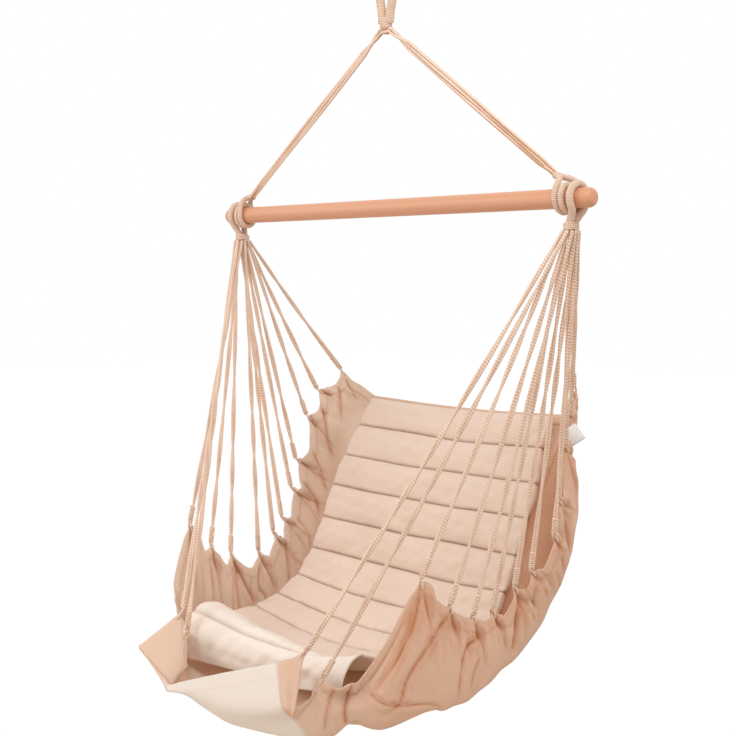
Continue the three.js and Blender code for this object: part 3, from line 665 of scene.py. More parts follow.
def noise(tree, place_of, scale, detail, **more):
    return add_node(tree, "ShaderNodeTexNoise", Vector=place_of, Scale=scale, Detail=detail,
                    **more).outputs["Fac"]


def thread(tree, direction):
    wave = add_node(tree, "ShaderNodeTexWave", Vector=run_place(tree), Scale=WEAVE_SCALE, Distortion=0.6,
                    Detail=1.0)
    wave.bands_direction = direction
    return wave.outputs["Fac"]


def cloth_material(name, colour, shade_and_mottle, wrinkle, glow_share):
    """Plain woven cotton: crossing threads, slubs, soft creases, light through it, painted shade in folds,
    painted light where lit
    """
    material, tree, shader, calc = material_nodes(name, Roughness=0.92, Sheen_Weight=0.25,
                                                  Sheen_Roughness=0.6, Specular_IOR_Level=0.15)
    place_of = object_place(tree)
    woven = calc("MULTIPLY", thread(tree, "X"), thread(tree, "Y"))
    slubs = noise(tree, place_of, 420.0, 2.0)
    creases = noise(tree, place_of, wrinkle, 5.0, Roughness=0.5, Distortion=0.6)
    patches = noise(tree, place_of, 9.0, 3.0)
    painted_shade, stitch, painted_light = (field(tree, key) for key in ("painted_shade", "stitch", "painted_light"))
    plain = calc("SUBTRACT", 1.0, painted_light)
    uneven = calc("MULTIPLY", calc("SUBTRACT", patches, 0.5), 0.35)
    # Painted shade: the fold and crease mask pulls the colour towards the shade-and-mottle colour, with
    # random patches added
    share = calc("ADD", painted_shade, calc("MULTIPLY", uneven, plain), True)
    # Painted light: the paler colour is laid where the lit mask is set, and patches and slubs are taken off
    # there
    toned = blend_colours(tree, painted_light, srgb(colour), srgb(PAINTED_LIGHT_COLOUR))
    toned = blend_colours(tree, share, toned, srgb(shade_and_mottle))
    speck = calc("MULTIPLY", calc("SUBTRACT", slubs, 0.45), 0.25, True)
    toned = blend_colours(tree, calc("MULTIPLY", speck, plain), toned, srgb(shade_and_mottle))
    toned = blend_colours(tree, calc("MULTIPLY", stitch, 0.5, True), toned, srgb(THREAD_COLOUR))
    tree.links.new(toned, shader.inputs["Base Color"])
    height = calc("ADD", calc("MULTIPLY", woven, 0.1), calc("MULTIPLY", creases, 1.8))
    height = calc("ADD", height, calc("MULTIPLY", stitch, -0.5))
    add_bump(tree, shader, height, CLOTH_RELIEF, 0.5)
    # The light let through is paled by the same painted light mask
    glow_colour = blend_colours(tree, painted_light, srgb(GLOW_COLOUR), srgb(PAINTED_LIGHT_COLOUR))
    mix_surfaces(tree, glow_share, shader, add_node(tree, "ShaderNodeBsdfTranslucent", Color=glow_colour))
    return material


def cord_material(name, shade_and_mottle, pitch, depth, relief=CORD_RELIEF, ridges=1.0, shift=0.0):
    """Cord whose strands, or winding, run round it on a slant, with painted shade in the grooves and a little
    fuzz
    """
    material, tree, shader, calc = material_nodes(name, Roughness=0.85, Sheen_Weight=0.3,
                                                  Specular_IOR_Level=0.2)
    parts = add_node(tree, "ShaderNodeSeparateXYZ", Vector=run_place(tree)).outputs
    turn = calc("ADD", calc("MULTIPLY", parts["X"], ridges), shift)
    turn = calc("ADD", turn, calc("DIVIDE", parts["Y"], pitch))
    ridge = calc("ABSOLUTE", calc("SINE", calc("MULTIPLY", turn, math.pi)))
    place_of = object_place(tree)
    fuzz = noise(tree, place_of, 900.0, 2.0)
    patches = noise(tree, place_of, 24.0, 2.0)
    # Painted shade: the colour darkens in the grooves between strands or turns, with random patches added
    groove_shade = calc("POWER", calc("SUBTRACT", 1.0, ridge), 1.6)
    uneven = calc("MULTIPLY", calc("SUBTRACT", patches, 0.5), 0.5)
    share = calc("ADD", calc("MULTIPLY", groove_shade, depth), uneven, True)
    tree.links.new(blend_colours(tree, share, srgb(CORD_COLOUR), srgb(shade_and_mottle)), shader.inputs["Base Color"])
    add_bump(tree, shader, calc("ADD", ridge, calc("MULTIPLY", fuzz, 0.4)), relief, 0.8)
    return material


def wood_material():
    """Oiled beech: close straight grain along the bar, with the short dark flecks of its rays"""
    material, tree, shader, calc = material_nodes("beech", Roughness=0.42)
    place_of = object_place(tree)
    long_grain = add_node(tree, "ShaderNodeMapping", Vector=place_of, Scale=(1.4, 60.0, 60.0))
    grain = noise(tree, long_grain.outputs["Vector"], 2.0, 6.0)
    short_grain = add_node(tree, "ShaderNodeMapping", Vector=place_of, Scale=(160.0, 900.0, 900.0))
    flecks = add_node(tree, "ShaderNodeTexVoronoi", Vector=short_grain.outputs["Vector"], Scale=1.0)
    fleck = calc("MULTIPLY", calc("LESS_THAN", flecks.outputs["Distance"], 0.2), 0.22)
    share = calc("MULTIPLY", calc("SUBTRACT", grain, 0.3), 1.1, True)
    toned = blend_colours(tree, share, srgb(WOOD_COLOUR), srgb(WOOD_DEEP))
    toned = blend_colours(tree, fleck, toned, srgb(FLECK_COLOUR))
    tree.links.new(toned, shader.inputs["Base Color"])
    add_bump(tree, shader, grain, WOOD_RELIEF, 0.4)
    return material


def label_material():
    """Smooth woven tape with fine cross ribs"""
    material, tree, shader, _ = material_nodes("label_tape", Roughness=0.6)
    ribs = add_node(tree, "ShaderNodeTexWave", Vector=object_place(tree), Scale=180.0).outputs["Fac"]
    tree.links.new(blend_colours(tree, ribs, srgb(LABEL_COLOUR), srgb(LABEL_DEEP)),
                   shader.inputs["Base Color"])
    add_bump(tree, shader, ribs, TAPE_RELIEF, 0.5)
    return material


cloth = cloth_material("cotton_canvas", CLOTH_COLOUR, CLOTH_SHADE_AND_MOTTLE, CLOTH_WRINKLE, GLOW_SHARE)
padding = cloth_material("quilted_cotton", PAD_COLOUR, PAD_SHADE_AND_MOTTLE, PAD_WRINKLE, PAD_GLOW_SHARE)
cord = cord_material("cotton_cord", CORD_SHADE_AND_MOTTLE, LAY_PITCH / 3, 0.55)
leg_cord = cord_material("smooth_cord", LEG_SHADE_AND_MOTTLE, 1.0, 1.0, LEG_RELIEF, 2.0, 0.5)
whipping = cord_material("cotton_whipping", CORD_SHADE_AND_MOTTLE, WHIP_PITCH, 1.0)
wood = wood_material()
tape = label_material()


# Camera


def add_camera():
    camera = placed(bpy.data.objects.new("camera", bpy.data.cameras.new("camera")))
    camera.data.lens = CAMERA_LENS
    camera.data.sensor_width = CAMERA_SENSOR
    turn = Euler((math.radians(90 + CAMERA_PITCH), 0, math.radians(CAMERA_HEADING))).to_matrix()
    roll = Euler((0, 0, math.radians(CAMERA_ROLL))).to_matrix()
    camera.matrix_world = (turn @ roll).to_4x4()
    camera.location = CAMERA_PLACE
    bpy.context.scene.camera = camera


add_camera()


# Seat surface, by the same rules as the solids


def place(share, side=1):
    """A place given in shares of the half width, the reach and the drop"""
    x, y, z = share
    return vec(side * x * EDGE_HALF_WIDTH,
               y * EDGE_REACH * math.cos(SEAT_LEAN) + z * EDGE_DROP * math.sin(SEAT_LEAN),
               y * EDGE_REACH * math.sin(SEAT_LEAN) - z * EDGE_DROP * math.cos(SEAT_LEAN) - BAR_DROP)


profile = centripetal([place((0, y, z)) for y, z in pad_profile_shares], PROFILE_SAMPLES)
profile_run = along(profile)
profile_tangents = unit(np.gradient(profile, profile_run, axis=0))


def at_share(values, share):
    run = share * profile_run[-1]
    return np.stack([np.interp(run, profile_run, values[:, k]) for k in range(3)], axis=-1)


def pad_face(share, across):
    """Points of the pad's upper face before quilting, and the way out of the seat there"""
    share, across = np.broadcast_arrays(np.asarray(share, float), np.asarray(across, float))
    t = np.clip(share, 0, 1)
    tangent = unit(at_share(profile_tangents, t))
    outward = np.stack([np.zeros_like(t), -tangent[..., 2], tangent[..., 1]], axis=-1)
    point = at_share(profile, t) + tangent * ((share - t) * profile_run[-1])[..., None]
    lift = mix(PAD_LIFT_BACK, PAD_LIFT_FRONT, smooth(t)) * across**2
    point = point - outward * lift[..., None]
    point[..., 0] = across * mix(PAD_HALF_WIDTH, PAD_FRONT_HALF_WIDTH, smooth(2 * t - 1))
    return point, outward


def full_at(share):
    return float(smooth((share - BULGE_START_SHARE) / (BULGE_FULL_SHARE - BULGE_START_SHARE)))


def push_at(share, side):
    bulge = mix(BACK_BULGE, SEAT_BULGE, full_at(share)) * (1 if share > 0 else 0)
    return pad_face(share, 1)[1] * bulge + vec(side * SIDE_BULGE * full_at(share), 0, 0)


def pad_row(share, sink, side, count):
    """A row of the cloth under the pad, from the middle to the foot of its side wall"""
    part = np.linspace(0, 1, count + 1)
    across = part * (PAD_HALF_WIDTH + FOOT_MARGIN) / PAD_HALF_WIDTH
    point, outward = pad_face(share, np.minimum(across, 1))
    under = PAD_THICKNESS + CLOTH_GAP + SOLID_CLOTH / 2
    point = point + outward * (under + sink * part**2)[:, None]
    point[:, 0] = side * across * PAD_HALF_WIDTH
    return point


def lip_row(lip, side, count):
    """A row of the lip, from the middle to the foot of its side wall"""
    middle = place((0, *lip["middle"]))
    foot = place(lip["foot"], side)
    part = np.linspace(0, 1, count + 1)[:, None]
    point = middle + (foot - middle) * part
    point[:, 2] += (foot[2] - middle[2]) * (part[:, 0] ** 2 - part[:, 0]) * lip.get("bend", LIP_BEND_SHARE)
    return point


def cloth_rows(side, dressed=False):
    """Rows of half the cloth: at each cord end, between each two, and along the lip"""
    lips = dressed_lip_shares if dressed else lip_shares
    sink = RELAXED_SINK if dressed else FOOT_SINK
    cord_row_share = RELAXED_CORD_ROW_SHARE if dressed else CORD_ROW_SHARE
    right_dressed = int(dressed and side > 0)
    tuck = TUCK_SHARE * right_dressed

    def push_of(share, number):
        return push_at(share, side) * (1 - tuck * math.exp(-((number - TUCK_CORD) / TUCK_SPREAD) ** 2))

    rows = []
    for k, share in enumerate(foot_shares):
        rows.append({"row": partial(pad_row, share, 0, side), "cord_end": k,
                     "edge": place(cord_end_shares[k], side), "push": push_of(share, k) * cord_row_share})
        if share == foot_shares[-1]:
            break
        between = (share + foot_shares[k + 1]) / 2
        edge = (place(cord_end_shares[k], side) + place(cord_end_shares[k + 1], side)) / 2
        foot = pad_row(between, FOOT_SINK, side, UNDER_COLUMNS)[-1]
        push = push_of(between, k + 0.5)
        wall = (edge + foot) / 2 + push if dressed else None
        ease = 1 - FLATTER_SHARE * smooth((k - FLATTER_CORD) / FLATTER_SPREAD) * right_dressed
        edge = edge + unit(foot - edge) * mix(BACK_DROOP, SEAT_DROOP, full_at(between)) * ease
        edge[0] += side * FOLD_OUT * full_at(between) * ease
        rows.append({"row": partial(pad_row, between, sink, side), "edge": edge, "wall": wall, "push": push})
    for lip in lips:
        if side < 0:
            lip = {**lip, **{key.removeprefix("left_"): lip[key] for key in lip if key.startswith("left_")}}
        edge = cord_end_shares[lip["cord_end"]] if "cord_end" in lip else lip["edge"]
        push = push_at(foot_shares[-1], side) * (lip.get("push_share", 0) if side > 0 else 0)
        rows.append({"row": partial(lip_row, lip, side), "edge": place(edge, side), "push": push,
                     "cord_end": lip.get("cord_end"),
                     **{key: place(lip[key], side) for key in ("wall", "tip") if key in lip}})
    return rows


def wall_controls(row):
    """Four points that a side wall's curve is drawn by, from its foot to its edge"""
    coarse = row["row"](UNDER_COLUMNS)
    foot = coarse[-1]
    edge = row["edge"]
    span = np.linalg.norm(foot - edge)
    if row.get("cord_end") == 0:
        first = foot + (edge - foot) * WALL_START_SHARE
    else:
        first = foot + unit(foot - coarse[-2]) * span * WALL_START_SHARE + row["push"]
    second = row.get("wall")
    if second is None:
        second = (edge + foot) / 2 + row["push"]
    return foot, first, second, edge


def row_points(row):
    """The solids' coarse half row, which the eyelets are placed by"""
    controls = wall_controls(row)
    hem_share = 1 - min(MOST_HEM_SHARE, HEM_INSET / np.linalg.norm(controls[0] - controls[3]))
    shares = [hem_share * j / (WALL_COLUMNS - 1) for j in range(1, WALL_COLUMNS)] + [1]
    return np.vstack([row["row"](UNDER_COLUMNS), bezier(*controls, shares)])


def wall_points(row, shares):
    """Points of a dressed side wall; a row with a tip runs straight to it and straight back"""
    if row.get("tip") is None:
        return bezier(*wall_controls(row), shares)
    corners = np.array([wall_controls(row)[0], row["tip"], row["edge"]])
    run = along(corners) / along(corners)[-1]
    return np.stack([np.interp(shares, run, corners[:, k]) for k in range(3)], axis=1)


rows_of = {side: cloth_rows(side) for _, side in SIDES}
relaxed_rows_of = {side: cloth_rows(side, True) for _, side in SIDES}


def whole_rows(half_row, sides):
    return np.array([np.vstack([half_row(left)[:0:-1], half_row(right)])
                     for left, right in zip(sides[-1], sides[1])])


coarse_grid = whole_rows(row_points, rows_of)
last_column = coarse_grid.shape[1] - 1
last_row = coarse_grid.shape[0] - 1


def coarse_normal(i, j):
    down = coarse_grid[min(i + 1, last_row), j] - coarse_grid[max(i - 1, 0), j]
    over = coarse_grid[i, min(j + 1, last_column)] - coarse_grid[i, max(j - 1, 0)]
    return -unit(np.cross(over, down))


# The row of each cord end
row_of_cord = {row["cord_end"]: n for n, row in enumerate(rows_of[1])
               if row.get("cord_end") is not None}


def eyelet(side, k):
    """An eyelet's middle, the way to the cloth's edge and the cloth's facing"""
    i = row_of_cord[k]
    column = 0 if side < 0 else last_column
    edge = coarse_grid[i, column]
    outward = unit(edge - coarse_grid[i, column - side])
    middle = edge - outward * EYELET_DEPTH
    if i in (0, last_row):
        neighbour = coarse_grid[1 if i == 0 else last_row - 1, column]
        outward = unit(outward - unit(neighbour - edge))
        middle = edge - outward * CORNER_EYELET_DEPTH
    facing = coarse_normal(i, column - side)
    return middle, outward, unit(facing - outward * np.dot(facing, outward))


# Sling cloth


def grid_normals(grid):
    over = np.gradient(grid, axis=1)
    down = np.gradient(grid, axis=0)
    return -unit(np.cross(over, down))


def cord_count(rows):
    """Place of each fine row among the cord ends, counted from the upper back corner"""
    return np.interp(rows, list(row_of_cord.values()), list(row_of_cord))


def hung(grid, flat, held):
    """A grid of cloth left to hang from its held points, with the lengths of its flat shape"""
    count, width = grid.shape[:2]
    faces = [(i * width + j, i * width + j + 1, (i + 1) * width + j + 1, (i + 1) * width + j)
             for i in range(count - 1) for j in range(width - 1)]
    mesh = bpy.data.meshes.new("hanging_cloth")
    mesh.from_pydata(grid.reshape(-1, 3).tolist(), [], faces)
    piece = placed(bpy.data.objects.new("hanging_cloth", mesh))
    piece.shape_key_add(name="hanging")
    cut = piece.shape_key_add(name="flat")
    cut.data.foreach_set("co", flat.ravel())
    group = piece.vertex_groups.new(name="held")
    group.add(np.flatnonzero(held).tolist(), 1.0, "REPLACE")
    cloth_sim = piece.modifiers.new("cloth", "CLOTH")
    settings = cloth_sim.settings
    settings.rest_shape_key = cut
    settings.vertex_group_mass = "held"
    for key, value in HANG_SETTINGS.items():
        setattr(settings, key, value)
    cloth_sim.collision_settings.use_collision = False
    cloth_sim.collision_settings.use_self_collision = False
    for number in range(1, HANG_FRAMES + 1):
        bpy.context.scene.frame_set(number)
    evaluated = piece.evaluated_get(bpy.context.evaluated_depsgraph_get())
    out = np.empty(count * width * 3)
    evaluated.to_mesh().vertices.foreach_get("co", out)
    evaluated.to_mesh_clear()
    bpy.context.scene.frame_set(1)
    bpy.data.objects.remove(piece)
    return out.reshape(count, width, 3)


def finer_grid(grid):
    """The grid with more rows and columns"""
    grid = rounded_rows(grid, FINER_ROWS)
    return rounded_rows(grid.swapaxes(0, 1), FINER_COLUMNS).swapaxes(0, 1)


def grid_points(grid, rows, columns):
    """Points of a grid at places between its rows and columns"""
    i = np.clip(rows.astype(int), 0, grid.shape[0] - 2)
    j = np.clip(columns.astype(int), 0, grid.shape[1] - 2)
    down = (rows - i)[:, None]
    over = (columns - j)[:, None]
    return mix(mix(grid[i, j], grid[i, j + 1], over), mix(grid[i + 1, j], grid[i + 1, j + 1], over), down)


def run_of(grid, axis):
    """Distance run along one way of a grid"""
    steps = np.cumsum(length(np.diff(grid, axis=axis))[..., 0], axis=axis)
    return np.concatenate([np.zeros_like(np.take(steps, [0], axis)), steps], axis=axis)


def creased(grid, k, wall, routes):
    """Depth of sharp creases along routes over half a grid, and the puffed shoulders beside them"""
    depth = np.zeros(grid.shape[:2])
    shoulder = np.zeros(grid.shape[:2])
    for points, weight in routes:
        rows = np.interp([number for number, _ in points], k, np.arange(len(k)))
        columns = np.interp([share for _, share in points], wall, np.arange(len(wall)))
        way = rounded_rows(np.stack([rows, columns], axis=1)[:, None], 9)[:, 0]
        route = grid_points(grid, way[:, 0], way[:, 1])
        low = max(0, int(way[:, 0].min()) - CREASE_ROWS)
        part = grid[low:int(way[:, 0].max()) + CREASE_ROWS]
        start, end = route[:-1], route[1:]
        leg = end - start
        from_start = part[:, :, None] - start
        t = np.clip((from_start * leg).sum(-1) / np.maximum((leg * leg).sum(-1), 1e-12), 0, 1)
        apart = np.linalg.norm(from_start - t[..., None] * leg, axis=-1)
        nearest = apart.argmin(axis=2)
        apart = apart.min(axis=2) / (CREASE_WIDTH * weight**0.5)
        done = (nearest + np.take_along_axis(t, nearest[..., None], 2)[..., 0]) / len(leg)
        fade = smooth((1 - done) / CREASE_END_SHARE) * ramp(done, *CREASE_START_RAMP) * weight
        depth[low:low + len(part)] += np.exp(-apart**1.6) * fade
        shoulder[low:low + len(part)] += np.exp(-((apart - SHOULDER_APART) / SHOULDER_SPREAD) ** 2) * fade
    return depth, shoulder


def knot_creases():
    """Short creases that fan out under each knot"""
    routes = []
    for number in range(len(foot_shares)):
        for _ in range(KNOT_CREASES):
            lean = random.uniform(*KNOT_LEANS)
            reach = random.uniform(*KNOT_REACHES)
            route = [(number + 0.03 * lean, 1), (number + lean, 1 - reach)]
            routes.append((route, random.uniform(*KNOT_WEIGHTS)))
    return routes


def half_wall_row(row):
    """A dressed half row, from the cloth's middle to its edge"""
    shares = np.linspace(0, 1, HANG_WALL_STEPS + 1)[1:]
    return np.vstack([row["row"](HANG_UNDER_STEPS), wall_points(row, shares)])


def wall_share(columns):
    """Share of the side wall at a number of columns from the middle"""
    return np.clip((columns - HANG_UNDER_STEPS) / HANG_WALL_STEPS, 0, 1)


def flat_cloth(grid, column):
    """The cloth's flat shape, with the ease along its edges that makes it puff between the cords"""
    steps_along = length(np.diff(grid, axis=0))[..., 0]
    edge_step = np.maximum(steps_along[:, 0], steps_along[:, -1])
    foot_step = steps_along[:, column == HANG_UNDER_STEPS].max(axis=1)
    flat_step = np.clip(foot_step, edge_step * (1 + EDGE_SLACK), edge_step * (1 + MOST_SLACK))
    flat_step = np.convolve(np.pad(flat_step, 4, "edge"), np.ones(9) / 9, "valid")
    run_over = run_of(grid, 1)
    flat = np.zeros_like(grid)
    flat[..., 0] = (run_over - run_over[:, column == 0]) * (1 + ACROSS_SLACK)
    flat[..., 1] = np.concatenate([[0], np.cumsum(flat_step)])[:, None]
    return flat


def held_points(count, width, wall):
    """1 where the cloth is held: under the pad, at the knots and at the lip's left end"""
    held = np.zeros((count, width))
    held[:, wall <= 1 / HANG_WALL_STEPS] = 1
    for n in row_of_cord.values():
        near = slice(max(0, n * HANG_ROW_STEPS - 1), n * HANG_ROW_STEPS + 2)
        held[near, :2] = 1
        held[near, -2:] = 1
    held[(last_row - 1) * HANG_ROW_STEPS:, :width // 2] = 1
    return held


def hung_cloth():
    """The dressed rows, puffed a little between the cords and left to hang"""
    grid = rounded_rows(whole_rows(half_wall_row, relaxed_rows_of), HANG_ROW_STEPS)
    count, width = grid.shape[:2]
    from_middle = np.arange(width) - width // 2
    wall = wall_share(np.abs(from_middle))
    held = held_points(count, width, wall)
    k = cord_count(np.linspace(0, last_row, count))[:, None]
    sides = np.sign(from_middle)[None]
    uneven = ripples(k / 4, np.linspace(0, 1, width)[None] * 3, 6, *PUFF_WAVES)
    bend = k + PUFF_SIDE_SHIFT * sides + PUFF_UNEVEN * uneven
    puff = PUFF_HEIGHT * np.abs(np.sin(math.pi * bend)) ** 0.7 * smooth((wall - 0.3) * 2.5)[None] * -sides
    start = grid + grid_normals(grid) * (puff * (held == 0))[..., None]
    shift = hung(start, flat_cloth(grid, np.abs(from_middle)), held.ravel()) - grid
    far = np.maximum(length(shift), 1e-9)
    freed = ramp(wall, *FREED_RAMP)[None, :, None]
    return grid + shift * MOST_SHIFT * np.tanh(far / MOST_SHIFT) / far * freed


def folded_cloth():
    """The cloth's middle layer with its folds and creases, and the masks for its seams, its painted shade and
    its painted light
    """
    grid = finer_grid(hung_cloth())
    count, width = grid.shape[:2]
    middle = width // 2
    wall = wall_share(np.arange(middle + 1) / FINER_COLUMNS)
    k = cord_count(np.linspace(0, last_row, count))
    rise = np.zeros((count, width))
    crease_shade_mask = np.zeros((count, width))
    for name, side in SIDES:
        half = slice(middle, width) if side > 0 else slice(middle, None, -1)
        depth, shoulder = creased(grid[:, half], k, wall, crease_shares[name] + knot_creases())
        pressed = np.minimum(depth, 1.5) - SHOULDER_SHARE * np.minimum(shoulder, 1.5)
        rise[:, half] += side * CREASE_DEPTH * pressed
        crease_shade_mask[:, half] += depth
    grid = grid + grid_normals(grid) * rise[..., None]
    around = (np.roll(grid, 3, 0) + np.roll(grid, -3, 0) + np.roll(grid, 3, 1) + np.roll(grid, -3, 1)) / 4
    hollow = ((around - grid) * grid_normals(grid)).sum(axis=2)
    hollow[:3] = hollow[-3:] = 0
    hollow[:, :3] = hollow[:, -3:] = 0
    # Painted shade: the colour darkens in the surface's hollows and along the creases
    painted_shade = np.clip(np.abs(hollow) / FOLD_DEPTH - 0.4, 0, 0.4) + CREASE_SHADE * np.minimum(crease_shade_mask, 1)
    run_along = run_of(grid, 0)
    run_over = run_of(grid, 1)
    to_side = np.minimum(run_over, run_over[:, -1:] - run_over)
    to_end = np.minimum(run_along, run_along[-1:] - run_along)
    k = k[:, None]
    on_wall = ramp(wall[np.abs(np.arange(width) - middle)], 0, WALL_TONE_REACH)
    right = np.arange(width) > middle
    # Painted light: the lit lip is paled, less so up its side walls, and so is the lit inner face of the left
    # wall
    painted_light = ramp(k, *LIP_LIGHT_RAMP) * (1 - LIP_WALL_LOSS * on_wall)
    painted_light = np.maximum(painted_light, LEFT_WALL_LIGHT * on_wall * (1 - right) * smooth((LIP_CORD - k) / LIP_CORD_REACH))
    hem_share = 1 - ramp(k, LIP_CORD, LIP_CORD_REACH) + np.zeros_like(painted_shade)
    # The right side wall gets extra painted shade
    return grid, {"painted_shade": painted_shade + RIGHT_WALL_SHADE * on_wall * right, "painted_light": painted_light, "along": run_along,
                  "over": run_over, "to_edge": np.minimum(to_side, to_end), "hem_share": hem_share}


def sheet_piece(name, top, bottom, over, run, material, fields):
    """A closed sheet between two grids of points"""
    count, width = top.shape[:2]
    layer = count * width
    ids = np.arange(layer).reshape(count, width)
    a, b, c, d = ids[:-1, :-1], ids[:-1, 1:], ids[1:, 1:], ids[1:, :-1]
    upper = np.stack([a, d, c, b], axis=-1)
    lower = np.stack([a, b, c, d], axis=-1) + layer
    rim = np.concatenate([ids[0], ids[1:, -1], ids[-1, -2::-1], ids[-2:0:-1, 0]])
    after = np.roll(rim, -1)
    faces = np.vstack([np.stack([upper, lower], axis=2).reshape(-1, 4),
                       np.stack([rim, after, after + layer, rim + layer], axis=1)])
    uvs = np.stack([over.ravel(), run.ravel()], axis=1)[faces % layer]
    verts = np.vstack([top.reshape(-1, 3), bottom.reshape(-1, 3)])
    doubled = {key: np.tile(value.ravel(), 2) for key, value in fields.items()}
    return mesh_piece(name, verts, faces.tolist(), uvs, material, doubled)


def sling_piece():
    grid, marks = folded_cloth()
    normals = grid_normals(grid)
    from_seam = marks["to_edge"] - HEM_WIDTH
    half = mix(CLOTH_THICKNESS, HEM_THICKNESS, 1 - smooth(from_seam / HEM_FADE)) / 2
    line = np.exp(-(from_seam / SEAM_WIDTH) ** 2) * marks["hem_share"]
    puckers = np.sin(marks["along"] * 2 * math.pi / PUCKER_PITCH) * np.exp(-(from_seam / PUCKER_REACH) ** 2)
    rise = puckers * marks["hem_share"] * PUCKER_HEIGHT
    sink = line * SEAM_SINK / 2
    top = grid + normals * (half + rise - sink)[..., None]
    bottom = grid - normals * (half - rise - sink)[..., None]
    fields = {"painted_shade": marks["painted_shade"], "stitch": line, "painted_light": marks["painted_light"]}
    return sheet_piece("sling_cloth", top, bottom, marks["over"], marks["along"], cloth, fields)


sling = dress(sling_piece(), "seat", "sling")


# Pad


def pad_piece():
    """The quilted pad: full channels between drawn-in seams, its front end rolled and pressed at the right"""
    count = PAD_CHANNELS * CHANNEL_STEPS + 1
    row = np.arange(count)[:, None]
    down = row / (count - 1)
    # Columns stand closer together towards the sides
    part = np.linspace(-0.5, 0.5, PAD_STEPS + 1)[None]
    across = np.sin(part * math.pi) * 0.35 + part * 1.3
    x = across * PAD_HALF_WIDTH
    in_channel = (row % CHANNEL_STEPS) / CHANNEL_STEPS
    channel = np.floor(row / CHANNEL_STEPS)
    seam_number = np.round(row / CHANNEL_STEPS)
    from_seam = np.minimum(in_channel, 1 - in_channel)
    near_seam = np.exp(-from_seam * 6)
    drift = ripples(x, seam_number * 0.7, 6, *DRIFT_WAVES) * near_seam
    inside = (seam_number > 0) & (seam_number < PAD_CHANNELS)
    to_left = 1 - ROLL_RIGHT_LOSS * ramp(across, *LEFT_RAMP)
    share = down + np.where(inside, drift * SEAM_DRIFT_SHARE, 0)
    share = share + PAD_FRONT_RUN * ramp(share, *FRONT_RUN_RAMP) * to_left
    point, outward = pad_face(share, across)
    spread = ramp(share, *SPREAD_RAMP) * (1 - ramp(share, *SPREAD_END_RAMP))
    swell = np.sin(math.pi * in_channel) ** 0.42
    point[..., 0] += PAD_RIGHT_SPREAD * spread * np.clip(across, 0, 1) ** 2
    point[..., 0] -= np.sign(across) * np.abs(across) ** 4 * PAD_DRAWN_IN * (1 - swell)
    point[..., 0] -= PAD_RIGHT_TUCK * ramp(across, *TUCK_SIDE_RAMP) * ramp(share, *TUCK_RAMP)
    crimp = ripples(x + channel * 0.37, channel * 0.41, 8, *CRIMP_WAVES) * near_seam * (1 - near_seam)
    plump = 1 + 0.06 * ripples(x + channel, channel * 0.3, 4, *PLUMP_WAVES) + 0.3 * crimp
    roll = 1 + PAD_ROLL_SHARE * ramp(down, *ROLL_RAMP) * to_left
    side = np.sqrt(np.maximum(0, 1 - np.abs(across) ** 9))
    full = mix(PAD_SIDE_THICKNESS, mix(PAD_SEAM_THICKNESS, PAD_THICKNESS * roll, swell * plump), side)
    pressed = PAD_PRESSED * ramp(across, *PRESSED_SIDE_RAMP) * ramp(down, *PRESSED_RAMP)
    middle = point + outward * (PAD_THICKNESS / 2 + full * pressed * PRESSED_DROP)[..., None]
    half = full * (1 - pressed) / 2
    wobble = WOBBLE_HEIGHT * ripples(x, share * 0.9, 8, *WOBBLE_WAVES) * swell
    top = middle - outward * (half + wobble)[..., None]
    bottom = middle + outward * half[..., None]
    seam = np.exp(-((from_seam * CHANNEL_STEPS) / 0.7) ** 2) + 0 * across
    # Painted light on the lit front roll of the pad
    front = ramp(down, *FRONT_LIGHT_RAMP)
    over, run = (np.broadcast_to(values, seam.shape) for values in (x, down * profile_run[-1]))
    # Painted shade darkens the seam grooves, less so on the lit front
    fields = {"painted_shade": seam * 0.8 * (1 - 0.6 * front), "stitch": np.zeros_like(seam),
              "painted_light": front * PAD_FRONT_LIGHT + np.zeros_like(seam)}
    return sheet_piece("quilted_seat_pad", top, bottom, over, run, padding, fields)


pad = dress(pad_piece(), "seat", "quilted_pad")


# Turns of rope round the bar, by the same rules as the solids


def ease_to(throat, away, ring, following, arrive_share, t):
    """The rope's way from its throat to where it lies on the bar"""
    reach = np.linalg.norm(throat - ring) * arrive_share
    arrive = (ring - following) * vec(0, 1, 1)
    return bezier(throat, throat + away, ring + unit(arrive) * reach, ring, t)


def bar_turns(side, x, radius, turned, pitch, up, throat, leave, arrive):
    """Route of a rope round the bar, with both its ends led to the throat"""
    start = (math.pi * 2 * math.ceil(turned / (math.pi * 2)) - turned) / 2

    def ring_at(share):
        share = np.atleast_1d(share)
        angle = start + turned * share
        return np.stack([BAR_OFFSET + side * (x + pitch * turned * (share - 0.5) / (2 * math.pi)),
                         -np.sin(angle) * radius, up * np.cos(angle) * radius - BAR_DROP], axis=1)

    throat_x, throat_half, throat_z = throat
    away = vec(side * leave[0], 0, leave[1])
    ends = [vec(BAR_OFFSET + side * throat_x, sign * throat_half, throat_z) for sign in (-1, 1)]
    t = np.linspace(0, 1, TURN_SAMPLES // 3)
    first = ease_to(ends[0], away, ring_at(0)[0], ring_at(0.01)[0], arrive, t)
    last = ease_to(ends[1], away, ring_at(1)[0], ring_at(0.99)[0], arrive, t)
    path = np.vstack([first[:-1], ring_at(np.linspace(0, 1, TURN_SAMPLES)), last[::-1][1:]])
    return evenly(path, int(along(path)[-1] / ROPE_STEP))


FAN_X = HITCH_INNER_X + HITCH_PITCH * 1.5 + (HITCH_CORE + FAN_ROPE) / 2 + FAN_EYE_GAP


def whipped_piece(name, path, rope, body, node):
    piece = mesh_piece(name, *tube_parts(path, whipped(path, rope / 2)), whipping)
    dress(piece, body, node)


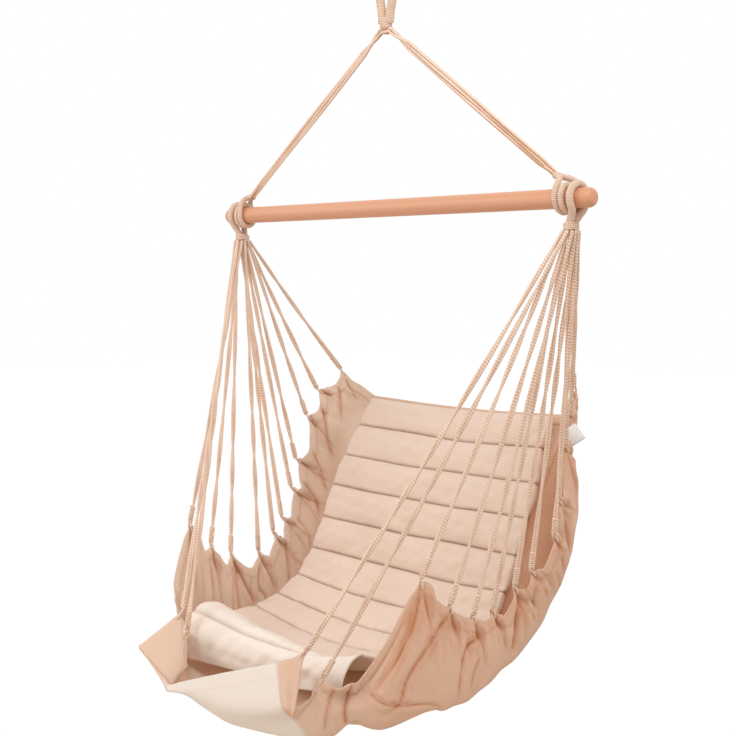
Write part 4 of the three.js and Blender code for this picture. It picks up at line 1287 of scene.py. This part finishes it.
def leg_hitch(name, side):
    path = bar_turns(side, HITCH_INNER_X + HITCH_PITCH * 0.75, BAR_RADIUS + FIT_GAP + HITCH_CORE / 2,
                     math.pi * 2 * HITCH_TURNS - HITCH_OPEN_ANGLE, HITCH_PITCH, 1,
                     (HITCH_INNER_X - HITCH_LEAN, HITCH_CORE / 2 + FIT_GAP, HITCH_HEIGHT - BAR_DROP),
                     (HITCH_LEAN * 1.7, -HITCH_LEAVE_DROP), 0.7)
    whipped_piece(f"hitch_rope_{name}", path, HITCH_ROPE, "suspension", f"leg_hitch_{name}")


def fan_eye(name, side):
    path = bar_turns(side, FAN_X, BAR_RADIUS + FIT_GAP + FAN_ROPE / 2, math.pi * 2 - FAN_OPEN_ANGLE, 0, -1,
                     (FAN_X - FAN_LEAN, FAN_ROPE / 2 + FAN_THROAT_GAP, -FAN_DROP - BAR_DROP),
                     (0, FAN_DROP * 0.35), 0.4)
    whipped_piece(f"fan_rope_{name}", path, FAN_ROPE, "seat", f"fan_eye_{name}")


def coil(centre, axis, first, second, straight, turns, pitch, samples=40):
    """A winding about a rounded slot: first and second are its half sizes, straight its flat run"""
    angle = np.linspace(0, 2 * math.pi * turns, int(samples * turns) + 1)
    across = unit(np.cross(vec(0, 1, 0), axis))
    other = np.cross(axis, across)
    lift = np.tanh(np.sin(angle) * 6) * straight
    return (centre + axis * (pitch * angle / (2 * math.pi))[:, None]
            + across * (np.cos(angle) * first)[:, None] + other * (np.sin(angle) * second + lift)[:, None])


def fan_seizing(name, side):
    centre = vec(BAR_OFFSET + side * (FAN_X - FAN_LEAN), 0, -BAR_DROP - FAN_DROP - SEIZING_DROP)
    reach = FAN_ROPE / 2 + SEIZING_STAND
    path = evenly(coil(centre, vec(0, 0, 1), reach, reach, SEIZING_FLAT, SEIZING_TURNS, SEIZING_PITCH), 300)
    piece = mesh_piece(f"fan_wrap_{name}", *tube_parts(path, SEIZING_CORD / 2, 8), cord)
    dress(piece, "seat", f"fan_seizing_{name}")


pivot = vec(0, 0, -PIVOT_DROP)


def leg_way(side):
    """Where a leg ends at its hitch, the way there from the pivot, and the way up and out from it"""
    low = vec(BAR_OFFSET + side * (HITCH_INNER_X - HITCH_LEAN), 0, -BAR_DROP + HITCH_HEIGHT)
    heading = unit(low - pivot)
    return low, heading, np.cross(heading, vec(0, 1, 0))


def leg_strands(name, side):
    low, heading, up = leg_way(side)
    top = pivot + heading * (CROWN_RADIUS + JOIN_GAP)
    low = low - heading * HITCH_END_GAP * 0.3
    across = vec(0, 1, 0)
    t = np.linspace(0, 1, int(np.linalg.norm(low - top) / CORD_STEP))[:, None]
    flat = smooth(t / 0.12) * smooth((1 - t) / 0.1)
    for n in range(LEG_STRANDS):
        turn = 2 * math.pi * (n / LEG_STRANDS + LEG_TURNS * t)
        bundle = (across * np.cos(turn) + up * np.sin(turn)) * LEG_BUNDLE_RADIUS
        ribbon = up * (n - 1) * LEG_FLAT_SPREAD + across * np.sin(t * 9 + n * 2) * LEG_WAVE
        path = mix(top, low, t) + mix(bundle, ribbon, flat)
        piece = mesh_piece(f"leg_cord_{name}_{n + 1}", *tube_parts(path, LEG_STRAND / 2), leg_cord)
        dress(piece, "suspension", f"leg_strand_{name}_{n + 1}")


# Suspension lines


def line_route(side, k):
    """A line's hanging curve from its eyelet to the seizing, and its bight's place"""
    middle, outward, facing = eyelet(side, k)
    centre = middle + outward * (BIGHT_RADIUS + BIGHT_SHIFT)
    seat = bundle_shares[k]
    top = vec(BAR_OFFSET + side * (FAN_X - FAN_LEAN + seat[0] * LINE_SEAT), seat[1] * LINE_SEAT,
              -BAR_DROP - FAN_DROP - SEIZING_FLOOR)
    pull = top - centre
    across = np.cross(outward, facing)
    lean = unit(pull - across * np.dot(pull, across))
    low = centre + lean * BIGHT_RADIUS
    bend = (low + top) / 2
    bend[2] -= 2 * LINE_SAG * math.hypot(*(top - low)[:2])
    t = np.linspace(0, 1, 200)[:, None]
    route = (1 - t) ** 2 * low + 2 * (1 - t) * t * bend + t**2 * top
    return route, centre, outward, facing


def suspension_line(name, side, k):
    route, centre, outward, facing = line_route(side, k)
    total = along(route)[-1]
    path = evenly(route, int(total / CORD_STEP))
    _, normals, binormals = frames_of(path)
    run = along(path)[:, None]
    spread = mix(LINE_SPREAD_TOP, LINE_SPREAD, np.clip((total - run) / LINE_SPREAD_RUN, 0, 1)) / 2
    wander = LINE_WANDER * np.sin(run * LINE_WANDER_WAVE + k)
    turn = 2 * math.pi * (total - run) / LINE_TWIST + k * LINE_TURN_STEP + wander
    parts = []
    for sign in (-1, 1):
        strand = path + sign * spread * (normals * np.cos(turn) + binormals * np.sin(turn))
        parts.append(tube_parts(strand, LINE_STRAND / 2, 8))
    number = f"{name}_{k + 1:02d}"
    line = mesh_piece(f"line_cord_{number}", *joined(parts), cord)
    dress(line, "seat", f"line_{number}")
    along_axis = unit(path[6] - path[0])
    knot_route = coil(path[0] + along_axis * BARREL_START, along_axis, BARREL_WIND, BARREL_WIND, 0,
                      BARREL_TURNS, BARREL_PITCH, 18)
    angle = np.linspace(0, 2 * math.pi, 49)[:, None]
    loop = centre + BIGHT_RADIUS * (outward * np.cos(angle) + facing * np.sin(angle) * BIGHT_FLATTEN)
    knot_parts = [tube_parts(evenly(knot_route, 150), BIGHT_CORD / 2, 8),
                  tube_parts(loop, BIGHT_CORD / 2, 8, False)]
    knot = mesh_piece(f"line_knot_{number}", *joined(knot_parts), cord)
    dress(knot, "seat")


for name, side in SIDES:
    leg_hitch(name, side)
    fan_eye(name, side)
    fan_seizing(name, side)
    leg_strands(name, side)
    for k in range(len(cord_end_shares)):
        suspension_line(name, side, k)


# Hang eye, neck and crown


def hang_eye():
    half = EYE_ROPE / 2 + FIT_GAP

    def leg(s):
        foot = vec(s * half, 0, -PIVOT_DROP + NECK_RADIUS * 0.5)
        return [foot, *(vec(s * mix(half, EYE_HALF_WIDTH, out), 0, -PIVOT_DROP * down)
                        for out, down in eye_route_shares)]

    points = [*leg(-1), vec(0, 0, EYE_ROPE / 2), *leg(1)[::-1]]
    whipped_piece("eye_rope", evenly(centripetal(points, 40), 320), EYE_ROPE, "eye", "hang_eye")


def neck_binding():
    share = np.linspace(-1, 1, 40)
    path = pivot + vec(0, 0, NECK_RAISE) + share[:, None] * vec(0, 0, NECK_RADIUS * 1.05)
    radius = NECK_RADIUS * 1.04 * (1 - 0.5 * np.abs(share[:, None]) ** 6) + 0 * np.arange(ROPE_SIDES)
    neck = mesh_piece("neck_binding", *tube_parts(path, radius), whipping)
    dress(neck, "neck", "neck_wrap")


def crown_cords():
    """The legs' strands, led through under the neck from one leg to the other"""
    parts = []
    for n in range(LEG_STRANDS):
        turn = 2 * math.pi * n / LEG_STRANDS
        points = []
        for side in (-1, 1):
            _, heading, up = leg_way(side)
            offset = (vec(0, 1, 0) * math.cos(turn) + up * math.sin(turn)) * LEG_BUNDLE_RADIUS
            ends = [pivot + heading * CROWN_RADIUS * share + offset for share in (1, 0.72)]
            points += ends[::-side]
        points.insert(2, pivot + vec(0, (n - 1) * LEG_STRAND * 0.9, -NECK_RADIUS * 1.1))
        parts.append(tube_parts(evenly(centripetal(points, 20), 60), LEG_STRAND / 2))
    crown = mesh_piece("crown_cords", *joined(parts), leg_cord)
    dress(crown, "crown", "crown_knot")


hang_eye()
neck_binding()
crown_cords()


# Bar


def bar_piece():
    share = np.linspace(0, 1, 10)
    arc = np.stack([BAR_RADIUS - BAR_END_ROUND + np.sin(share * math.pi / 2) * BAR_END_ROUND,
                    BAR_LENGTH / 2 - BAR_END_ROUND + np.cos(share * math.pi / 2) * BAR_END_ROUND], axis=1)
    x = np.concatenate([-arc[:, 1], np.linspace(-1, 1, 40)[1:-1] * arc[-1, 1], arc[::-1, 1]])
    radius = np.concatenate([arc[:, 0], np.full(38, BAR_RADIUS), arc[::-1, 0]])
    path = np.stack([x + BAR_OFFSET, np.zeros_like(x), np.full_like(x, -BAR_DROP)], axis=1)
    piece = mesh_piece("beech_bar", *tube_parts(path, radius[:, None], 40, False), wood)
    dress(piece, "suspension", "spreader_bar")


bar_piece()


def label_piece():
    """A bare tape tag sewn to the hem at its inner corner, its free end turned out to the right"""
    i = row_of_cord[1] + 1
    edge = coarse_grid[i, last_column]
    outward = unit(edge - coarse_grid[i, last_column - 1])
    heading = math.radians(CAMERA_HEADING)
    right = vec(math.cos(heading), math.sin(heading), 0)
    up = vec(0, 0, 1)
    reach = right * math.cos(LABEL_TILT) + up * math.sin(LABEL_TILT)
    rise = up * math.cos(LABEL_TILT) - right * math.sin(LABEL_TILT)
    start = edge + outward * (LABEL_REACH / 2 - LABEL_LAP) + right * LABEL_SHIFT
    u = np.linspace(-0.5, 0.5, 9)[None, :, None]
    v = np.linspace(-0.5, 0.5, 9)[:, None, None]
    facing = np.cross(reach, rise)
    curl = facing * (LABEL_CURL * np.cos(u * 3 + v * 2))
    grid = start + reach * u * LABEL_REACH + rise * v * LABEL_WIDTH + curl
    half = facing * LABEL_THICKNESS / 2
    over, run = np.broadcast_arrays(u[..., 0] * LABEL_REACH, v[..., 0] * LABEL_WIDTH)
    piece = sheet_piece("label_tag", grid - half, grid + half, over, run, tape, {})
    dress(piece, "seat", "side_label")


label_piece()


# Floor, background and light


def seen_rays(tree, *more):
    """1 for the rays that show a surface as it looks, 0 for those that only carry its light"""
    rays = tree.nodes.new("ShaderNodeLightPath").outputs
    seen = add_math(tree, "MAXIMUM", rays["Is Camera Ray"], rays["Is Glossy Ray"])
    for name in more:
        seen = add_math(tree, "MAXIMUM", seen, rays[name])
    return seen


def floor_piece():
    mesh = bpy.data.meshes.new("floor")
    corners = ((-1, -1), (1, -1), (1, 1), (-1, 1))
    mesh.from_pydata([(FLOOR_REACH * x, FLOOR_REACH * y, -FLOOR_DROP) for x, y in corners], [],
                     [(0, 1, 2, 3)])
    material, tree, shader, calc = material_nodes("pale_floor", Base_Color=srgb(FLOOR_COLOUR), Roughness=0.9)
    glow = add_node(tree, "ShaderNodeEmission", Color=WHITE, Strength=FLOOR_GLOW)
    mix_surfaces(tree, calc("MULTIPLY", seen_rays(tree), FLOOR_GLOW_SHARE), shader, glow)
    mesh.materials.append(material)
    placed(bpy.data.objects.new("floor", mesh))


def backdrop():
    world = bpy.data.worlds.new("studio")
    bpy.context.scene.world = world
    world.use_nodes = True
    tree = world.node_tree
    light = set_sockets(tree, tree.nodes["Background"], {"Color": WORLD_COLOUR, "Strength": WORLD_STRENGTH})
    white = add_node(tree, "ShaderNodeBackground", Color=WHITE, Strength=1.0)
    mix_surfaces(tree, seen_rays(tree, "Is Transmission Ray"), light, white, "World Output")


def lamp(name, spot, target, size, power):
    light = bpy.data.lights.new(name, "AREA")
    light.shape = "DISK"
    light.size = size
    light.energy = power
    piece = placed(bpy.data.objects.new(name, light))
    heading = unit(np.array(target) - np.array(spot))
    piece.location = spot
    piece.rotation_euler = Euler((math.acos(-heading[2]), 0, math.atan2(heading[0], -heading[1]) + math.pi))
    piece.visible_camera = False


floor_piece()
backdrop()
for name, (spot, target, size, power) in LAMPS.items():
    lamp(name, spot, target, size, power)

bpy.context.scene.view_settings.view_transform = "Standard"
